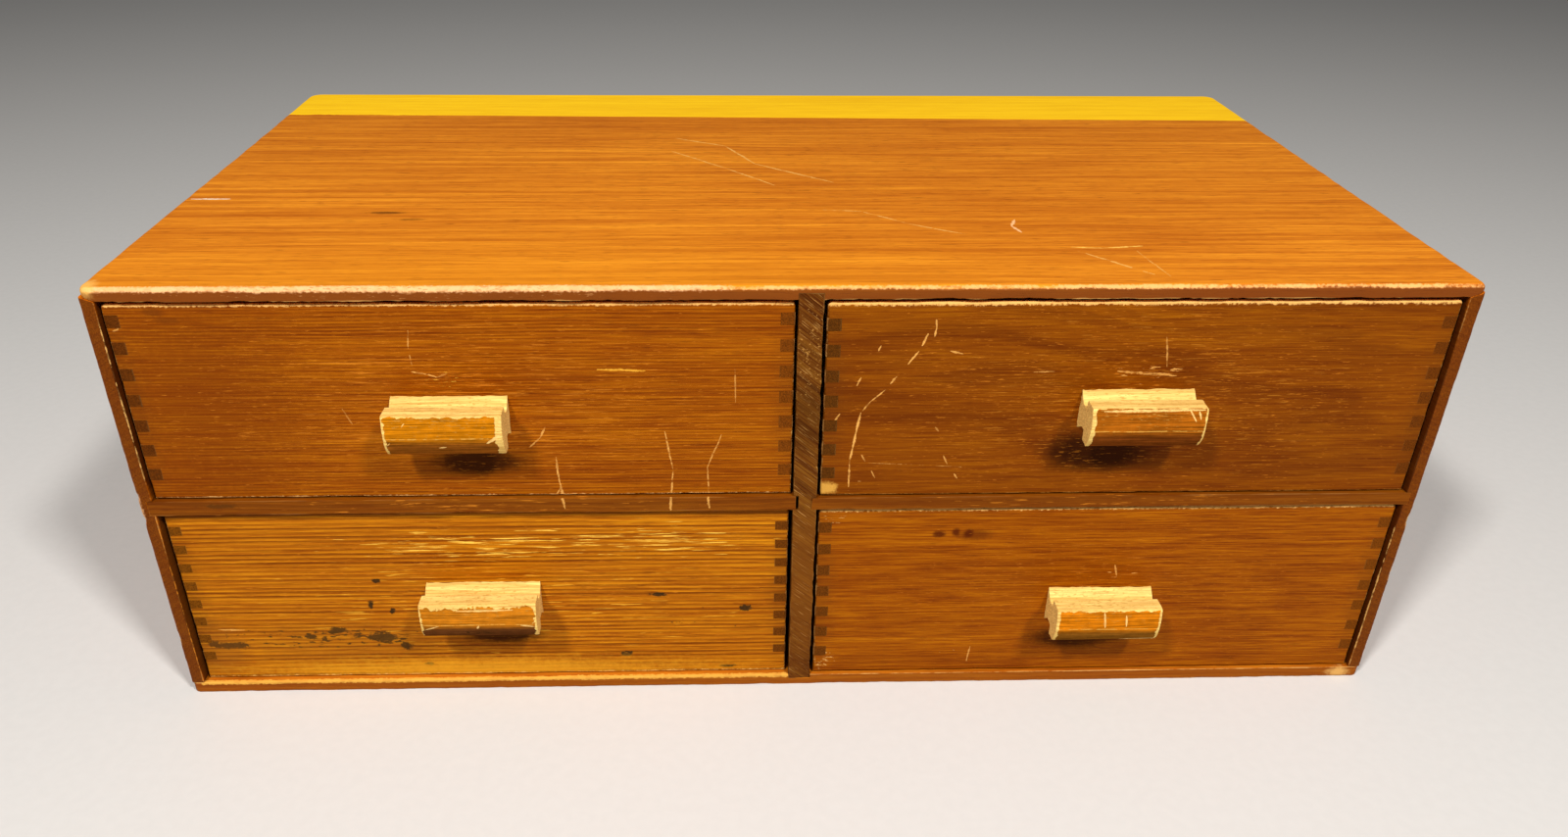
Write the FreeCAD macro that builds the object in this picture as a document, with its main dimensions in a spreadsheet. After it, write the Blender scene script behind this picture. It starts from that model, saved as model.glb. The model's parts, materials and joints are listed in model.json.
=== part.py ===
# A wooden cigar box with four drawers, as a parametric model in millimetres.
# +X is to the right, +Y to the back and +Z up. The origin is in the middle of the underside.
import FreeCAD, Part
import math
import os
import Sketcher

doc = FreeCAD.newDocument("CigarBoxWithDrawers")
sheet = doc.addObject("Spreadsheet::Sheet", "Sizes")


class Size:
    """A size or a place: a formula over the sheet's cells, with the value that it has now."""

    def __init__(self, formula, value):
        self.formula = formula
        self.value = value

    def joined(self, sign, other, value):
        return Size(f"({self.formula} {sign} {other.formula})", value)

    def __add__(self, other):
        other = as_size(other)
        return self.joined("+", other, self.value + other.value)

    def __sub__(self, other):
        other = as_size(other)
        return self.joined("-", other, self.value - other.value)

    def __mul__(self, other):
        other = as_size(other)
        return self.joined("*", other, self.value * other.value)

    def __truediv__(self, other):
        other = as_size(other)
        return self.joined("/", other, self.value / other.value)

    def __neg__(self):
        return Size(f"(-{self.formula})", -self.value)


def as_size(thing):
    return thing if isinstance(thing, Size) else Size(str(thing), thing)


def whole(thing):
    """The whole number just below a size, for counts."""
    return Size(f"floor({thing.formula})", math.floor(thing.value))


sheet_rows = []


def size(alias, number, meaning):
    """Write one driving dimension into the sheet and give it back for use in formulas."""
    sheet_rows.append(alias)
    row = len(sheet_rows)
    sheet.set(f"A{row}", meaning)
    sheet.set(f"B{row}", str(number))
    sheet.setAlias(f"B{row}", alias)
    return Size(f"Sizes.{alias}", number)


NOTHING = as_size(0)

# The case
case_width = size("case_width", 380, "case, outside, left to right")
case_depth = size("case_depth", 207, "case, outside, front to back")
case_height = size("case_height", 140, "case, outside, bottom to top")
top_thickness = size("top_thickness", 4, "top boards")
bottom_thickness = size("bottom_thickness", 4, "bottom board")
side_thickness = size("side_thickness", 4, "left and right side boards")
back_thickness = size("back_thickness", 3.5, "back panel, set in between the other boards")
joint_rise = size("joint_rise", 1.6, "rise of the joint between top and side, from its inner to its outer end")
strip_left_depth = size("strip_left_depth", 32.4, "light board at the back of the top, at its left end")
strip_right_depth = size("strip_right_depth", 40.2, "light board at the back of the top, at its right end")
divider_thickness = size("divider_thickness", 7, "upright board between the left and right drawers")
divider_offset = size("divider_offset", 4.5, "middle of the divider, to the right of the case's middle")
divider_top_housing = size("divider_top_housing", 2, "how far the divider is let into the top")
divider_bottom_housing = size("divider_bottom_housing", 1.5, "how far the divider is let into the bottom")
lower_bay_height = size("lower_bay_height", 64.1, "clear height from the bottom board to the shelves")
left_shelf_thickness = size("left_shelf_thickness", 4.9, "left shelf")
right_shelf_thickness = size("right_shelf_thickness", 4.2, "right shelf")
shelf_housing = size("shelf_housing", 1.6, "how far a shelf is let into the side and the divider")
left_shelf_shortfall = size("left_shelf_shortfall", 0.8, "open end of the left shelf's housing in the divider")

# Rounded and worn edges of the case
top_arris = size("top_arris", 1.5, "rounding along the upper edges of the top")
worn_left_corner = size("worn_left_corner", 3.4, "upright rounding of the top's front left corner")
worn_right_corner = size("worn_right_corner", 2, "upright rounding of the top's front right corner")
strip_corner = size("strip_corner", 5, "upright rounding of the top's back corners")
side_front_arris = size("side_front_arris", 1, "rounding of the sides' outer front edges")
side_back_arris = size("side_back_arris", 3, "rounding of the sides' outer back edges")
bottom_front_corner = size("bottom_front_corner", 2, "upright rounding of the bottom's front corners")
bottom_back_corner = size("bottom_back_corner", 3, "upright rounding of the bottom's back corners")
bottom_arris = size("bottom_arris", 0.5, "rounding along the bottom's front lower edge")

# The brads, which are headed wire nails
brad_diameter = size("brad_diameter", 1.2, "shank of a brad")
brad_head_diameter = size("brad_head_diameter", 2.4, "head of a brad")
brad_head_thickness = size("brad_head_thickness", 0.5, "head of a brad, sunk flush")
back_brad_length = size("back_brad_length", 14, "brads of the back panel, head included")
back_brad_inset = size("back_brad_inset", 28, "divider's brads in from its two ends, shelves' brads in from theirs")
pull_brad_length = size("pull_brad_length", 12.5, "brads of the pulls, head included")
pull_brad_spacing = size("pull_brad_spacing", 18, "between the two brads of one pull")

# What the four drawers share
front_thickness = size("front_thickness", 5, "drawer fronts")
drawer_side_thickness = size("drawer_side_thickness", 4, "drawer sides")
drawer_back_thickness = size("drawer_back_thickness", 4, "drawer backs")
drawer_panel_thickness = size("drawer_panel_thickness", 2.5, "drawer bottoms")
groove_rise = size("groove_rise", 3, "groove for the drawer bottom, above the drawer's underside")
groove_depth = size("groove_depth", 2, "groove for the drawer bottom, into each board")
floor_gap = size("floor_gap", 0.3, "running gap below each drawer")
rear_gap = size("rear_gap", 4, "between each drawer and the back panel")
least_top_land = size("least_top_land", 1.5, "least wood above a drawer's top finger")
front_corner = size("front_corner", 1.4, "rounding of a drawer front's two top corners")
front_arris = size("front_arris", 0.6, "rounding round the face of a drawer front")

# The pulls, sawn from one length of moulding
head_height = size("head_height", 13, "head of the pull, which the fingers take hold of")
head_thickness = size("head_thickness", 6, "head of the pull, front to back")
neck_height = size("neck_height", 12.3, "neck of the pull where it is glued to the drawer front")
neck_depth = size("neck_depth", 6.4, "neck of the pull, front to back")
neck_rise = size("neck_rise", 0.9, "neck's underside above the head's underside")
groove_width = size("groove_width", 3.2, "level part of the grooves between head and neck")
upper_groove = size("upper_groove", 3, "depth of the groove in the neck's top")
lower_groove = size("lower_groove", 2.6, "depth of the groove in the neck's underside")
brow_rise = size("brow_rise", 6.2, "foremost line of the head above its underside")
brow_setback = size("brow_setback", 1, "head's top front edge behind its foremost line")
chin_setback = size("chin_setback", 2.8, "head's bottom front edge behind its foremost line")
brow_radius = size("brow_radius", 22, "bulge of the head above its foremost line")
chin_radius = size("chin_radius", 12, "bulge of the head below its foremost line")

# What differs from drawer to drawer, in the order of drawer_measures
drawer_measures = {
    "side_gap": "running gap on each side of the {} drawer",
    "head_gap": "running gap above the {} drawer",
    "recess": "{} drawer's face behind the case's front",
    "first_finger": "lowest finger's underside above the {} drawer's underside",
    "finger_height": "fingers of the {} drawer's sides",
    "finger_pitch": "from finger to finger on the {} drawer",
    "pull_length": "{} pull, left to right",
    "pull_shift": "{} pull's middle, to the right of the drawer's middle",
    "pull_rise": "{} pull's underside above the drawer's underside",
}
drawer_numbers = {
    "upper_left": (0.7, 1.1, 1.2, 6.4, 3.8, 8.05, 32.7, -3.9, 20.4),
    "upper_right": (1.0, 1.1, 0.9, 6.0, 3.8, 7.95, 32.4, 1.7, 22.1),
    "lower_left": (1.1, 0.6, 2.0, 7.6, 3.2, 6.82, 35, -1.3, 24),
    "lower_right": (0.9, 0.6, 1.0, 6.8, 3.8, 8.0, 32.4, 1.4, 20.1),
}


def drawer_sizes(place):
    """The sizes of one drawer, each under its own alias in the sheet."""
    drawer = {}
    for (measure, meaning), number in zip(drawer_measures.items(), drawer_numbers[place]):
        drawer[measure] = size(f"{place}_{measure}", number, meaning.format(place.replace("_", " ")))
    return drawer


drawers = {place: drawer_sizes(place) for place in drawer_numbers}

# Places that several pieces share
case_left = -case_width / 2
case_front = -case_depth / 2
inner_depth = case_depth - back_thickness
side_height = case_height - top_thickness - bottom_thickness
left_wall = case_left + side_thickness
right_wall = case_width / 2 - side_thickness
divider_left = divider_offset - divider_thickness / 2
divider_right = divider_offset + divider_thickness / 2
divider_height = side_height + divider_top_housing + divider_bottom_housing
top_underside = case_height - top_thickness
shelf_underside = bottom_thickness + lower_bay_height
strip_left_seam = case_depth - strip_left_depth
strip_right_seam = case_depth - strip_right_depth
pull_depth = head_thickness + neck_depth


def bind(thing, name, wanted):
    """Tie one property of an object to the sheet."""
    thing.setExpression(name, as_size(wanted).formula)


def bind_place(thing, x, y, z):
    """Tie an object's Placement to the sheet."""
    for axis, wanted in zip("xyz", (x, y, z)):
        bind(thing, f"Placement.Base.{axis}", wanted)


subparts = []


def new_body(label, x, y, z):
    """Start one piece whose own origin stands at x, y, z."""
    body = doc.addObject("PartDesign::Body", label)
    body.Label = label
    bind_place(body, x, y, z)
    subparts.append(body)
    return body


def origin_feature(body, role):
    return next(feature for feature in body.Origin.OriginFeatures if feature.Role == role)


def new_sketch(body, plane, offset=None):
    """Start a sketch on one of the body's planes, or at an offset along that plane's normal."""
    sketch = body.newObject("Sketcher::SketchObject", f"{body.Label}_sketch")
    sketch.AttachmentSupport = [(origin_feature(body, plane), "")]
    sketch.MapMode = "FlatFace"
    if offset is not None:
        bind(sketch, "AttachmentOffset.Base.z", offset)
    return sketch


def constrain(sketch, kind, *place_and_size):
    """Add one dimension, tied to the sheet."""
    *place, wanted = place_and_size
    number = sketch.addConstraint(Sketcher.Constraint(kind, *place, float(wanted.value)))
    bind(sketch, f"Constraints[{number}]", wanted)


def hold_point(sketch, curve, end, point):
    """Hold one end or the middle of a curve at a point measured from the sketch's origin."""
    constrain(sketch, "DistanceX", -1, 1, curve, end, point[0])
    constrain(sketch, "DistanceY", -1, 1, curve, end, point[1])


def vector(point):
    return FreeCAD.Vector(point[0].value, point[1].value, 0)


def draw_outline(sketch, points):
    """Draw a closed outline of straight lines through points."""
    count = len(points)
    first = sketch.GeometryCount
    for start, end in zip(points, points[1:] + points[:1]):
        sketch.addGeometry(Part.LineSegment(vector(start), vector(end)), False)
    for step in range(count):
        following = first + (step + 1) % count
        sketch.addConstraint(Sketcher.Constraint("Coincident", first + step, 2, following, 1))
    for step, point in enumerate(points):
        hold_point(sketch, first + step, 1, point)


def draw_rectangle(sketch, left, bottom, width, height):
    """Draw a rectangle from its lower left corner."""
    first = sketch.GeometryCount
    right = left + width
    top = bottom + height
    corners = [(left, bottom), (right, bottom), (right, top), (left, top)]
    for start, end in zip(corners, corners[1:] + corners[:1]):
        sketch.addGeometry(Part.LineSegment(vector(start), vector(end)), False)
    for step in range(4):
        following = first + (step + 1) % 4
        sketch.addConstraint(Sketcher.Constraint("Coincident", first + step, 2, following, 1))
        level = "Vertical" if step % 2 else "Horizontal"
        sketch.addConstraint(Sketcher.Constraint(level, first + step))
    hold_point(sketch, first, 1, corners[0])
    constrain(sketch, "DistanceX", first, 1, first, 2, width)
    constrain(sketch, "DistanceY", first + 1, 1, first + 1, 2, height)


def draw_circle(sketch, centre, diameter):
    number = sketch.GeometryCount
    circle = Part.Circle(vector(centre), FreeCAD.Vector(0, 0, 1), diameter.value / 2)
    sketch.addGeometry(circle, False)
    hold_point(sketch, number, 3, centre)
    constrain(sketch, "Diameter", number, diameter)


def add_pad(body, sketch, length, backwards=False):
    """Add the sketch's outline, along its plane's normal unless backwards."""
    pad = body.newObject("PartDesign::Pad", f"{body.Label}_pad")
    pad.Profile = sketch
    pad.Reversed = backwards
    bind(pad, "Length", length)
    doc.recompute()
    return pad


def add_pocket(body, sketch, depth=None, backwards=False):
    """Cut the sketch's outline against its plane's normal unless backwards, or right through."""
    volume_before = body.Tip.Shape.Volume
    pocket = body.newObject("PartDesign::Pocket", f"{body.Label}_pocket")
    pocket.Profile = sketch
    pocket.Reversed = backwards
    if depth is None:
        pocket.Type = "ThroughAll"
    else:
        bind(pocket, "Length", depth)
    doc.recompute()
    if not pocket.Shape.Volume < volume_before:
        raise RuntimeError(f"a pocket of {body.Label} cuts nothing")
    return pocket


def add_row(body, feature, pitch, count):
    """Repeat a feature upwards."""
    row = body.newObject("PartDesign::LinearPattern", f"{body.Label}_row")
    row.Originals = [feature]
    row.Direction = (origin_feature(body, "Z_Axis"), [""])
    bind(row, "Length", pitch * (count - 1))
    bind(row, "Occurrences", count)
    body.Tip = row
    doc.recompute()


def near(one, other):
    return abs(one - other) < 0.001


def round_edges(body, radius, chosen):
    """Round the edges whose two ends and middle all pass the test named chosen."""
    names = []
    base = body.Tip
    for number, edge in enumerate(base.Shape.Edges, start=1):
        middle = edge.valueAt((edge.FirstParameter + edge.LastParameter) / 2)
        if all(chosen(point) for point in [middle] + [vertex.Point for vertex in edge.Vertexes]):
            names.append(f"Edge{number}")
    if not names:
        raise RuntimeError(f"{body.Label} has no edge to round there")
    fillet = body.newObject("PartDesign::Fillet", f"{body.Label}_fillet")
    fillet.Base = (base, names)
    bind(fillet, "Radius", radius)
    doc.recompute()


# The plan of the top is drawn from the case's front left corner.
def cut_divider_housing(body, level, depth, upwards):
    """Cut the housing of the divider into the top or the bottom."""
    sketch = new_sketch(body, "XY_Plane", level)
    draw_rectangle(sketch, divider_left - case_left, NOTHING, divider_thickness, inner_depth)
    add_pocket(body, sketch, depth, backwards=upwards)


def bevel_ends(body):
    """Cut the sloping joints with the two sides along the underside of a top board."""
    left = [(NOTHING, NOTHING), (side_thickness, NOTHING), (NOTHING, joint_rise)]
    right = [(case_width - x, z) for x, z in left]
    sketch = new_sketch(body, "XZ_Plane")
    draw_outline(sketch, left)
    draw_outline(sketch, right)
    add_pocket(body, sketch)


def make_top_board():
    """The stained main board of the top, up to the seam with the light strip."""
    body = new_body("case_top_board", case_left, case_front, top_underside)
    sketch = new_sketch(body, "XY_Plane")
    front = [(NOTHING, NOTHING), (case_width, NOTHING)]
    seam = [(case_width, strip_right_seam), (NOTHING, strip_left_seam)]
    draw_outline(sketch, front + seam)
    add_pad(body, sketch, top_thickness)
    width, thickness = case_width.value, top_thickness.value
    round_edges(body, worn_left_corner, lambda p: near(p.x, 0) and near(p.y, 0))
    round_edges(body, worn_right_corner, lambda p: near(p.x, width) and near(p.y, 0))
    worn = max(worn_left_corner.value, worn_right_corner.value) + 0.001

    def on_arris(p):
        at_end = near(p.x, 0) or near(p.x, width)
        return near(p.z, thickness) and (at_end or p.y < worn)

    round_edges(body, top_arris, on_arris)
    bevel_ends(body)
    cut_divider_housing(body, NOTHING, divider_top_housing, upwards=True)


def make_top_strip():
    """The light board glued on behind the main board of the top."""
    body = new_body("case_top_back_strip", case_left, case_front, top_underside)
    sketch = new_sketch(body, "XY_Plane")
    seam = [(NOTHING, strip_left_seam), (case_width, strip_right_seam)]
    draw_outline(sketch, seam + [(case_width, case_depth), (NOTHING, case_depth)])
    add_pad(body, sketch, top_thickness)
    width, depth, thickness = case_width.value, case_depth.value, top_thickness.value
    round_edges(body, strip_corner, lambda p: near(p.y, depth) and (near(p.x, 0) or near(p.x, width)))
    rounded = depth - strip_corner.value - 0.001

    def on_arris(p):
        at_end = near(p.x, 0) or near(p.x, width)
        return near(p.z, thickness) and (at_end or p.y > rounded)

    round_edges(body, top_arris, on_arris)
    bevel_ends(body)
    cut_divider_housing(body, NOTHING, divider_top_housing, upwards=True)


def make_bottom_board():
    body = new_body("case_bottom_board", case_left, case_front, NOTHING)
    sketch = new_sketch(body, "XY_Plane")
    draw_rectangle(sketch, NOTHING, NOTHING, case_width, case_depth)
    add_pad(body, sketch, bottom_thickness)
    width, depth, rounded = case_width.value, case_depth.value, bottom_front_corner.value + 0.001

    def at_corner(p):
        return near(p.x, 0) or near(p.x, width)

    round_edges(body, bottom_front_corner, lambda p: at_corner(p) and near(p.y, 0))
    round_edges(body, bottom_back_corner, lambda p: at_corner(p) and near(p.y, depth))
    round_edges(body, bottom_arris, lambda p: p.y < rounded and p.z < 0.001)
    cut_divider_housing(body, bottom_thickness, divider_bottom_housing, upwards=False)


def make_side(label, on_left):
    """One side board, with the sloping joint at its top and the housing for its shelf."""
    x = case_left if on_left else right_wall
    body = new_body(label, x, case_front, bottom_thickness)
    rises = (joint_rise, NOTHING) if on_left else (NOTHING, joint_rise)
    sketch = new_sketch(body, "XZ_Plane")
    foot = [(NOTHING, NOTHING), (side_thickness, NOTHING)]
    head = [(side_thickness, side_height + rises[1]), (NOTHING, side_height + rises[0])]
    draw_outline(sketch, foot + head)
    add_pad(body, sketch, case_depth, backwards=True)
    shelf_thickness = left_shelf_thickness if on_left else right_shelf_thickness
    sketch = new_sketch(body, "YZ_Plane", side_thickness if on_left else NOTHING)
    draw_rectangle(sketch, NOTHING, lower_bay_height, inner_depth, shelf_thickness)
    add_pocket(body, sketch, shelf_housing, backwards=not on_left)
    outer = 0 if on_left else side_thickness.value
    round_edges(body, side_front_arris, lambda p: near(p.x, outer) and near(p.y, 0))
    round_edges(body, side_back_arris, lambda p: near(p.x, outer) and near(p.y, case_depth.value))


# The brads of the back panel go into the divider and the shelves from behind.
shelf_spans = {
    "left": (left_wall - shelf_housing, divider_left + shelf_housing - left_shelf_shortfall),
    "right": (divider_right - shelf_housing, right_wall + shelf_housing),
}
shelf_thicknesses = {"left": left_shelf_thickness, "right": right_shelf_thickness}
divider_underside = bottom_thickness - divider_bottom_housing
divider_top = top_underside + divider_top_housing
divider_brads = [
    (divider_offset, divider_underside + back_brad_inset),
    (divider_offset, divider_top - back_brad_inset),
]


def shelf_brads(hand):
    """Where the two brads of one shelf stand, seen from the back."""
    start, end = shelf_spans[hand]
    level = shelf_underside + shelf_thicknesses[hand] / 2
    return [(start + back_brad_inset, level), (end - back_brad_inset, level)]


def bore_for_brads(body, places, body_place, face, depth):
    """Bore brad holes into a face that looks to the back, at depth or right through."""
    sketch = new_sketch(body, "XZ_Plane", -face)
    for x, z in places:
        draw_circle(sketch, (x - body_place[0], z - body_place[1]), brad_diameter)
    add_pocket(body, sketch, depth, backwards=True)


def sink_brad_heads(body, places, body_place, face):
    """Sink the brads' heads flush with a face that looks to the back."""
    sketch = new_sketch(body, "XZ_Plane", -face)
    for x, z in places:
        draw_circle(sketch, (x - body_place[0], z - body_place[1]), brad_head_diameter)
    add_pocket(body, sketch, brad_head_thickness, backwards=True)


def make_brads(label, places, head_face, length):
    """A group of like brads that point to the front, their heads flush with head_face."""
    brads = []
    for number, (x, z) in enumerate(places, start=1):
        shank = doc.addObject("Part::Cylinder", f"{label}_shank_{number}")
        head = doc.addObject("Part::Cylinder", f"{label}_head_{number}")
        bind(shank, "Radius", brad_diameter / 2)
        bind(shank, "Height", length)
        bind(head, "Radius", brad_head_diameter / 2)
        bind(head, "Height", brad_head_thickness)
        for cylinder in (shank, head):
            cylinder.Placement.Rotation = FreeCAD.Rotation(FreeCAD.Vector(1, 0, 0), -90)
        bind_place(shank, x, head_face - length, z)
        bind_place(head, x, head_face - brad_head_thickness, z)
        brad = doc.addObject("Part::Fuse", f"{label}_{number}")
        brad.Base = shank
        brad.Tool = head
        brads.append(brad)
    group = doc.addObject("Part::Compound", label)
    group.Label = label
    group.Links = brads
    subparts.append(group)


def make_back_panel():
    """The panel between the other boards, flush with their back edges."""
    body = new_body("case_back_panel", left_wall, case_front + inner_depth, bottom_thickness)
    sketch = new_sketch(body, "XZ_Plane")
    draw_rectangle(sketch, NOTHING, NOTHING, right_wall - left_wall, side_height)
    add_pad(body, sketch, back_thickness, backwards=True)
    places = divider_brads + shelf_brads("left") + shelf_brads("right")
    corner = (left_wall, bottom_thickness)
    bore_for_brads(body, places, corner, back_thickness, None)
    sink_brad_heads(body, places, corner, back_thickness)
    make_brads("case_back_brads", places, case_front + case_depth, back_brad_length)


def make_divider():
    """The upright board in the middle, with a housing for each shelf."""
    body = new_body("case_centre_divider", divider_left, case_front, divider_underside)
    sketch = new_sketch(body, "XZ_Plane")
    draw_rectangle(sketch, NOTHING, NOTHING, divider_thickness, divider_height)
    add_pad(body, sketch, inner_depth, backwards=True)
    for hand, level in (("left", NOTHING), ("right", divider_thickness)):
        sketch = new_sketch(body, "YZ_Plane", level)
        draw_rectangle(sketch, NOTHING, shelf_underside - divider_underside, inner_depth, shelf_thicknesses[hand])
        add_pocket(body, sketch, shelf_housing, backwards=hand == "left")
    corner = (divider_left, divider_underside)
    bore_for_brads(body, divider_brads, corner, inner_depth, back_brad_length - back_thickness)


def make_shelf(hand):
    """One shelf, which is the floor of an upper drawer."""
    start, end = shelf_spans[hand]
    thickness = shelf_thicknesses[hand]
    body = new_body(f"case_{hand}_shelf", start, case_front, shelf_underside)
    sketch = new_sketch(body, "XZ_Plane")
    draw_rectangle(sketch, NOTHING, NOTHING, end - start, thickness)
    add_pad(body, sketch, inner_depth, backwards=True)
    corner = (start, shelf_underside)
    bore_for_brads(body, shelf_brads(hand), corner, inner_depth, back_brad_length - back_thickness)


def cut_finger_sockets(body, drawer, width):
    """Cut the sockets for the sides' fingers into both ends of a front or back."""
    sketch = new_sketch(body, "XZ_Plane")
    for left in (NOTHING, width - drawer_side_thickness):
        draw_rectangle(sketch, left, drawer["first_finger"], drawer_side_thickness, drawer["finger_height"])
    sockets = add_pocket(body, sketch)
    add_row(body, sockets, drawer["finger_pitch"], drawer["finger_count"])


def cut_end_groove(body, face, width, towards_back):
    """Cut the groove for the drawer bottom into the inner face of a front or back."""
    land = drawer_side_thickness - groove_depth
    sketch = new_sketch(body, "XZ_Plane", -face)
    draw_rectangle(sketch, land, groove_rise, width - land * 2, drawer_panel_thickness)
    add_pocket(body, sketch, groove_depth, backwards=not towards_back)


def make_drawer_front(place, drawer):
    """A drawer front, with its worn top corners and the holes for its pull's brads."""
    width, height = drawer["width"], drawer["height"]
    body = new_body(f"{place}_drawer_front", drawer["x"], drawer["y"], drawer["z"])
    sketch = new_sketch(body, "XZ_Plane")
    draw_rectangle(sketch, NOTHING, NOTHING, width, height)
    add_pad(body, sketch, front_thickness, backwards=True)
    cut_finger_sockets(body, drawer, width)
    cut_end_groove(body, front_thickness, width, towards_back=False)
    corner = (drawer["x"], drawer["z"])
    bore_for_brads(body, drawer["brads"], corner, front_thickness, None)
    sink_brad_heads(body, drawer["brads"], corner, front_thickness)
    right, top = width.value, height.value

    def at_top_corner(p):
        return near(p.z, top) and (near(p.x, 0) or near(p.x, right))

    round_edges(body, front_corner, at_top_corner)
    rounding = front_corner.value + 0.001

    def on_face_outline(p):
        by_top_corner = p.z > top - rounding and (p.x < rounding or p.x > right - rounding)
        on_side = near(p.x, 0) or near(p.x, right)
        return near(p.y, 0) and (near(p.z, 0) or near(p.z, top) or on_side or by_top_corner)

    round_edges(body, front_arris, on_face_outline)


def make_drawer_back(place, drawer):
    body = new_body(f"{place}_drawer_back", drawer["x"], drawer["back_y"], drawer["z"])
    sketch = new_sketch(body, "XZ_Plane")
    draw_rectangle(sketch, NOTHING, NOTHING, drawer["width"], drawer["height"])
    add_pad(body, sketch, drawer_back_thickness, backwards=True)
    cut_finger_sockets(body, drawer, drawer["width"])
    cut_end_groove(body, NOTHING, drawer["width"], towards_back=True)


def make_drawer_side(place, drawer, on_left):
    """A drawer side, whose fingers reach through the front and the back."""
    hand = "left" if on_left else "right"
    x = drawer["x"] if on_left else drawer["x"] + drawer["width"] - drawer_side_thickness
    body = new_body(f"{place}_drawer_{hand}_side", x, drawer["y"], drawer["z"])
    core_length = drawer["length"] - front_thickness - drawer_back_thickness
    sketch = new_sketch(body, "YZ_Plane")
    draw_rectangle(sketch, front_thickness, NOTHING, core_length, drawer["height"])
    add_pad(body, sketch, drawer_side_thickness)
    sketch = new_sketch(body, "YZ_Plane")
    draw_rectangle(sketch, NOTHING, drawer["first_finger"], drawer["length"], drawer["finger_height"])
    fingers = add_pad(body, sketch, drawer_side_thickness)
    add_row(body, fingers, drawer["finger_pitch"], drawer["finger_count"])
    sketch = new_sketch(body, "YZ_Plane", drawer_side_thickness if on_left else NOTHING)
    draw_rectangle(sketch, front_thickness, groove_rise, core_length, drawer_panel_thickness)
    add_pocket(body, sketch, groove_depth, backwards=not on_left)
    outer = 0 if on_left else drawer_side_thickness.value
    round_edges(body, front_arris, lambda p: near(p.x, outer) and near(p.y, 0))


def make_drawer_bottom(place, drawer):
    """The thin bottom, let into grooves on all four sides."""
    land = drawer_side_thickness - groove_depth
    front_land = front_thickness - groove_depth
    back_land = drawer_back_thickness - groove_depth
    x, y, z = drawer["x"] + land, drawer["y"] + front_land, drawer["z"] + groove_rise
    body = new_body(f"{place}_drawer_bottom", x, y, z)
    sketch = new_sketch(body, "XY_Plane")
    width = drawer["width"] - land * 2
    draw_rectangle(sketch, NOTHING, NOTHING, width, drawer["length"] - front_land - back_land)
    add_pad(body, sketch, drawer_panel_thickness)


def draw_pull_section(sketch):
    """Draw the section of the moulding: a bulging head, and a neck that narrows towards it."""
    back_of_head = head_thickness
    groove_end = back_of_head + groove_width
    neck_top = neck_rise + neck_height
    groove_floor = neck_top - upper_groove
    groove_roof = neck_rise + lower_groove
    corners = [
        (brow_setback, head_height),
        (back_of_head, head_height),
        (back_of_head, groove_floor),
        (groove_end, groove_floor),
        (pull_depth, neck_top),
        (pull_depth, neck_rise),
        (groove_end, groove_roof),
        (back_of_head, groove_roof),
        (back_of_head, NOTHING),
        (chin_setback, NOTHING),
    ]
    brow = (NOTHING, brow_rise)
    for start, end in zip(corners, corners[1:]):
        sketch.addGeometry(Part.LineSegment(vector(start), vector(end)), False)
    last = len(corners) - 1
    for step in range(last - 1):
        sketch.addConstraint(Sketcher.Constraint("Coincident", step, 2, step + 1, 1))
    for step, corner in enumerate(corners[:-1]):
        hold_point(sketch, step, 1, corner)
    hold_point(sketch, last - 1, 2, corners[-1])
    draw_bulge(sketch, corners[0], brow, brow_radius)
    draw_bulge(sketch, brow, corners[-1], chin_radius)
    upper, lower = last, last + 1
    sketch.addConstraint(Sketcher.Constraint("Coincident", upper, 1, 0, 1))
    sketch.addConstraint(Sketcher.Constraint("Coincident", lower, 1, upper, 2))
    sketch.addConstraint(Sketcher.Constraint("Coincident", lower, 2, last - 1, 2))
    hold_point(sketch, upper, 2, brow)


def draw_bulge(sketch, start, end, radius):
    """Draw an arc counterclockwise from start to end."""
    first, second = vector(start), vector(end)
    half = (second - first) * 0.5
    square = FreeCAD.Vector(-half.y, half.x, 0).normalize()
    centre = first + half + square * math.sqrt(radius.value ** 2 - half.Length ** 2)
    angles = [math.atan2(point.y - centre.y, point.x - centre.x) for point in (first, second)]
    circle = Part.Circle(centre, FreeCAD.Vector(0, 0, 1), radius.value)
    number = sketch.GeometryCount
    sketch.addGeometry(Part.ArcOfCircle(circle, angles[0], angles[1]), False)
    constrain(sketch, "Radius", number, radius)


def make_pull(place, drawer):
    """The pull, with blind holes for its brads in the back of its neck."""
    x, z = drawer["pull_x"] - drawer["pull_length"] / 2, drawer["pull_z"]
    body = new_body(f"{place}_pull", x, drawer["y"] - pull_depth, z)
    sketch = new_sketch(body, "YZ_Plane")
    draw_pull_section(sketch)
    add_pad(body, sketch, drawer["pull_length"])
    depth = pull_brad_length - front_thickness
    bore_for_brads(body, drawer["brads"], (x, z), pull_depth, depth)


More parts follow.
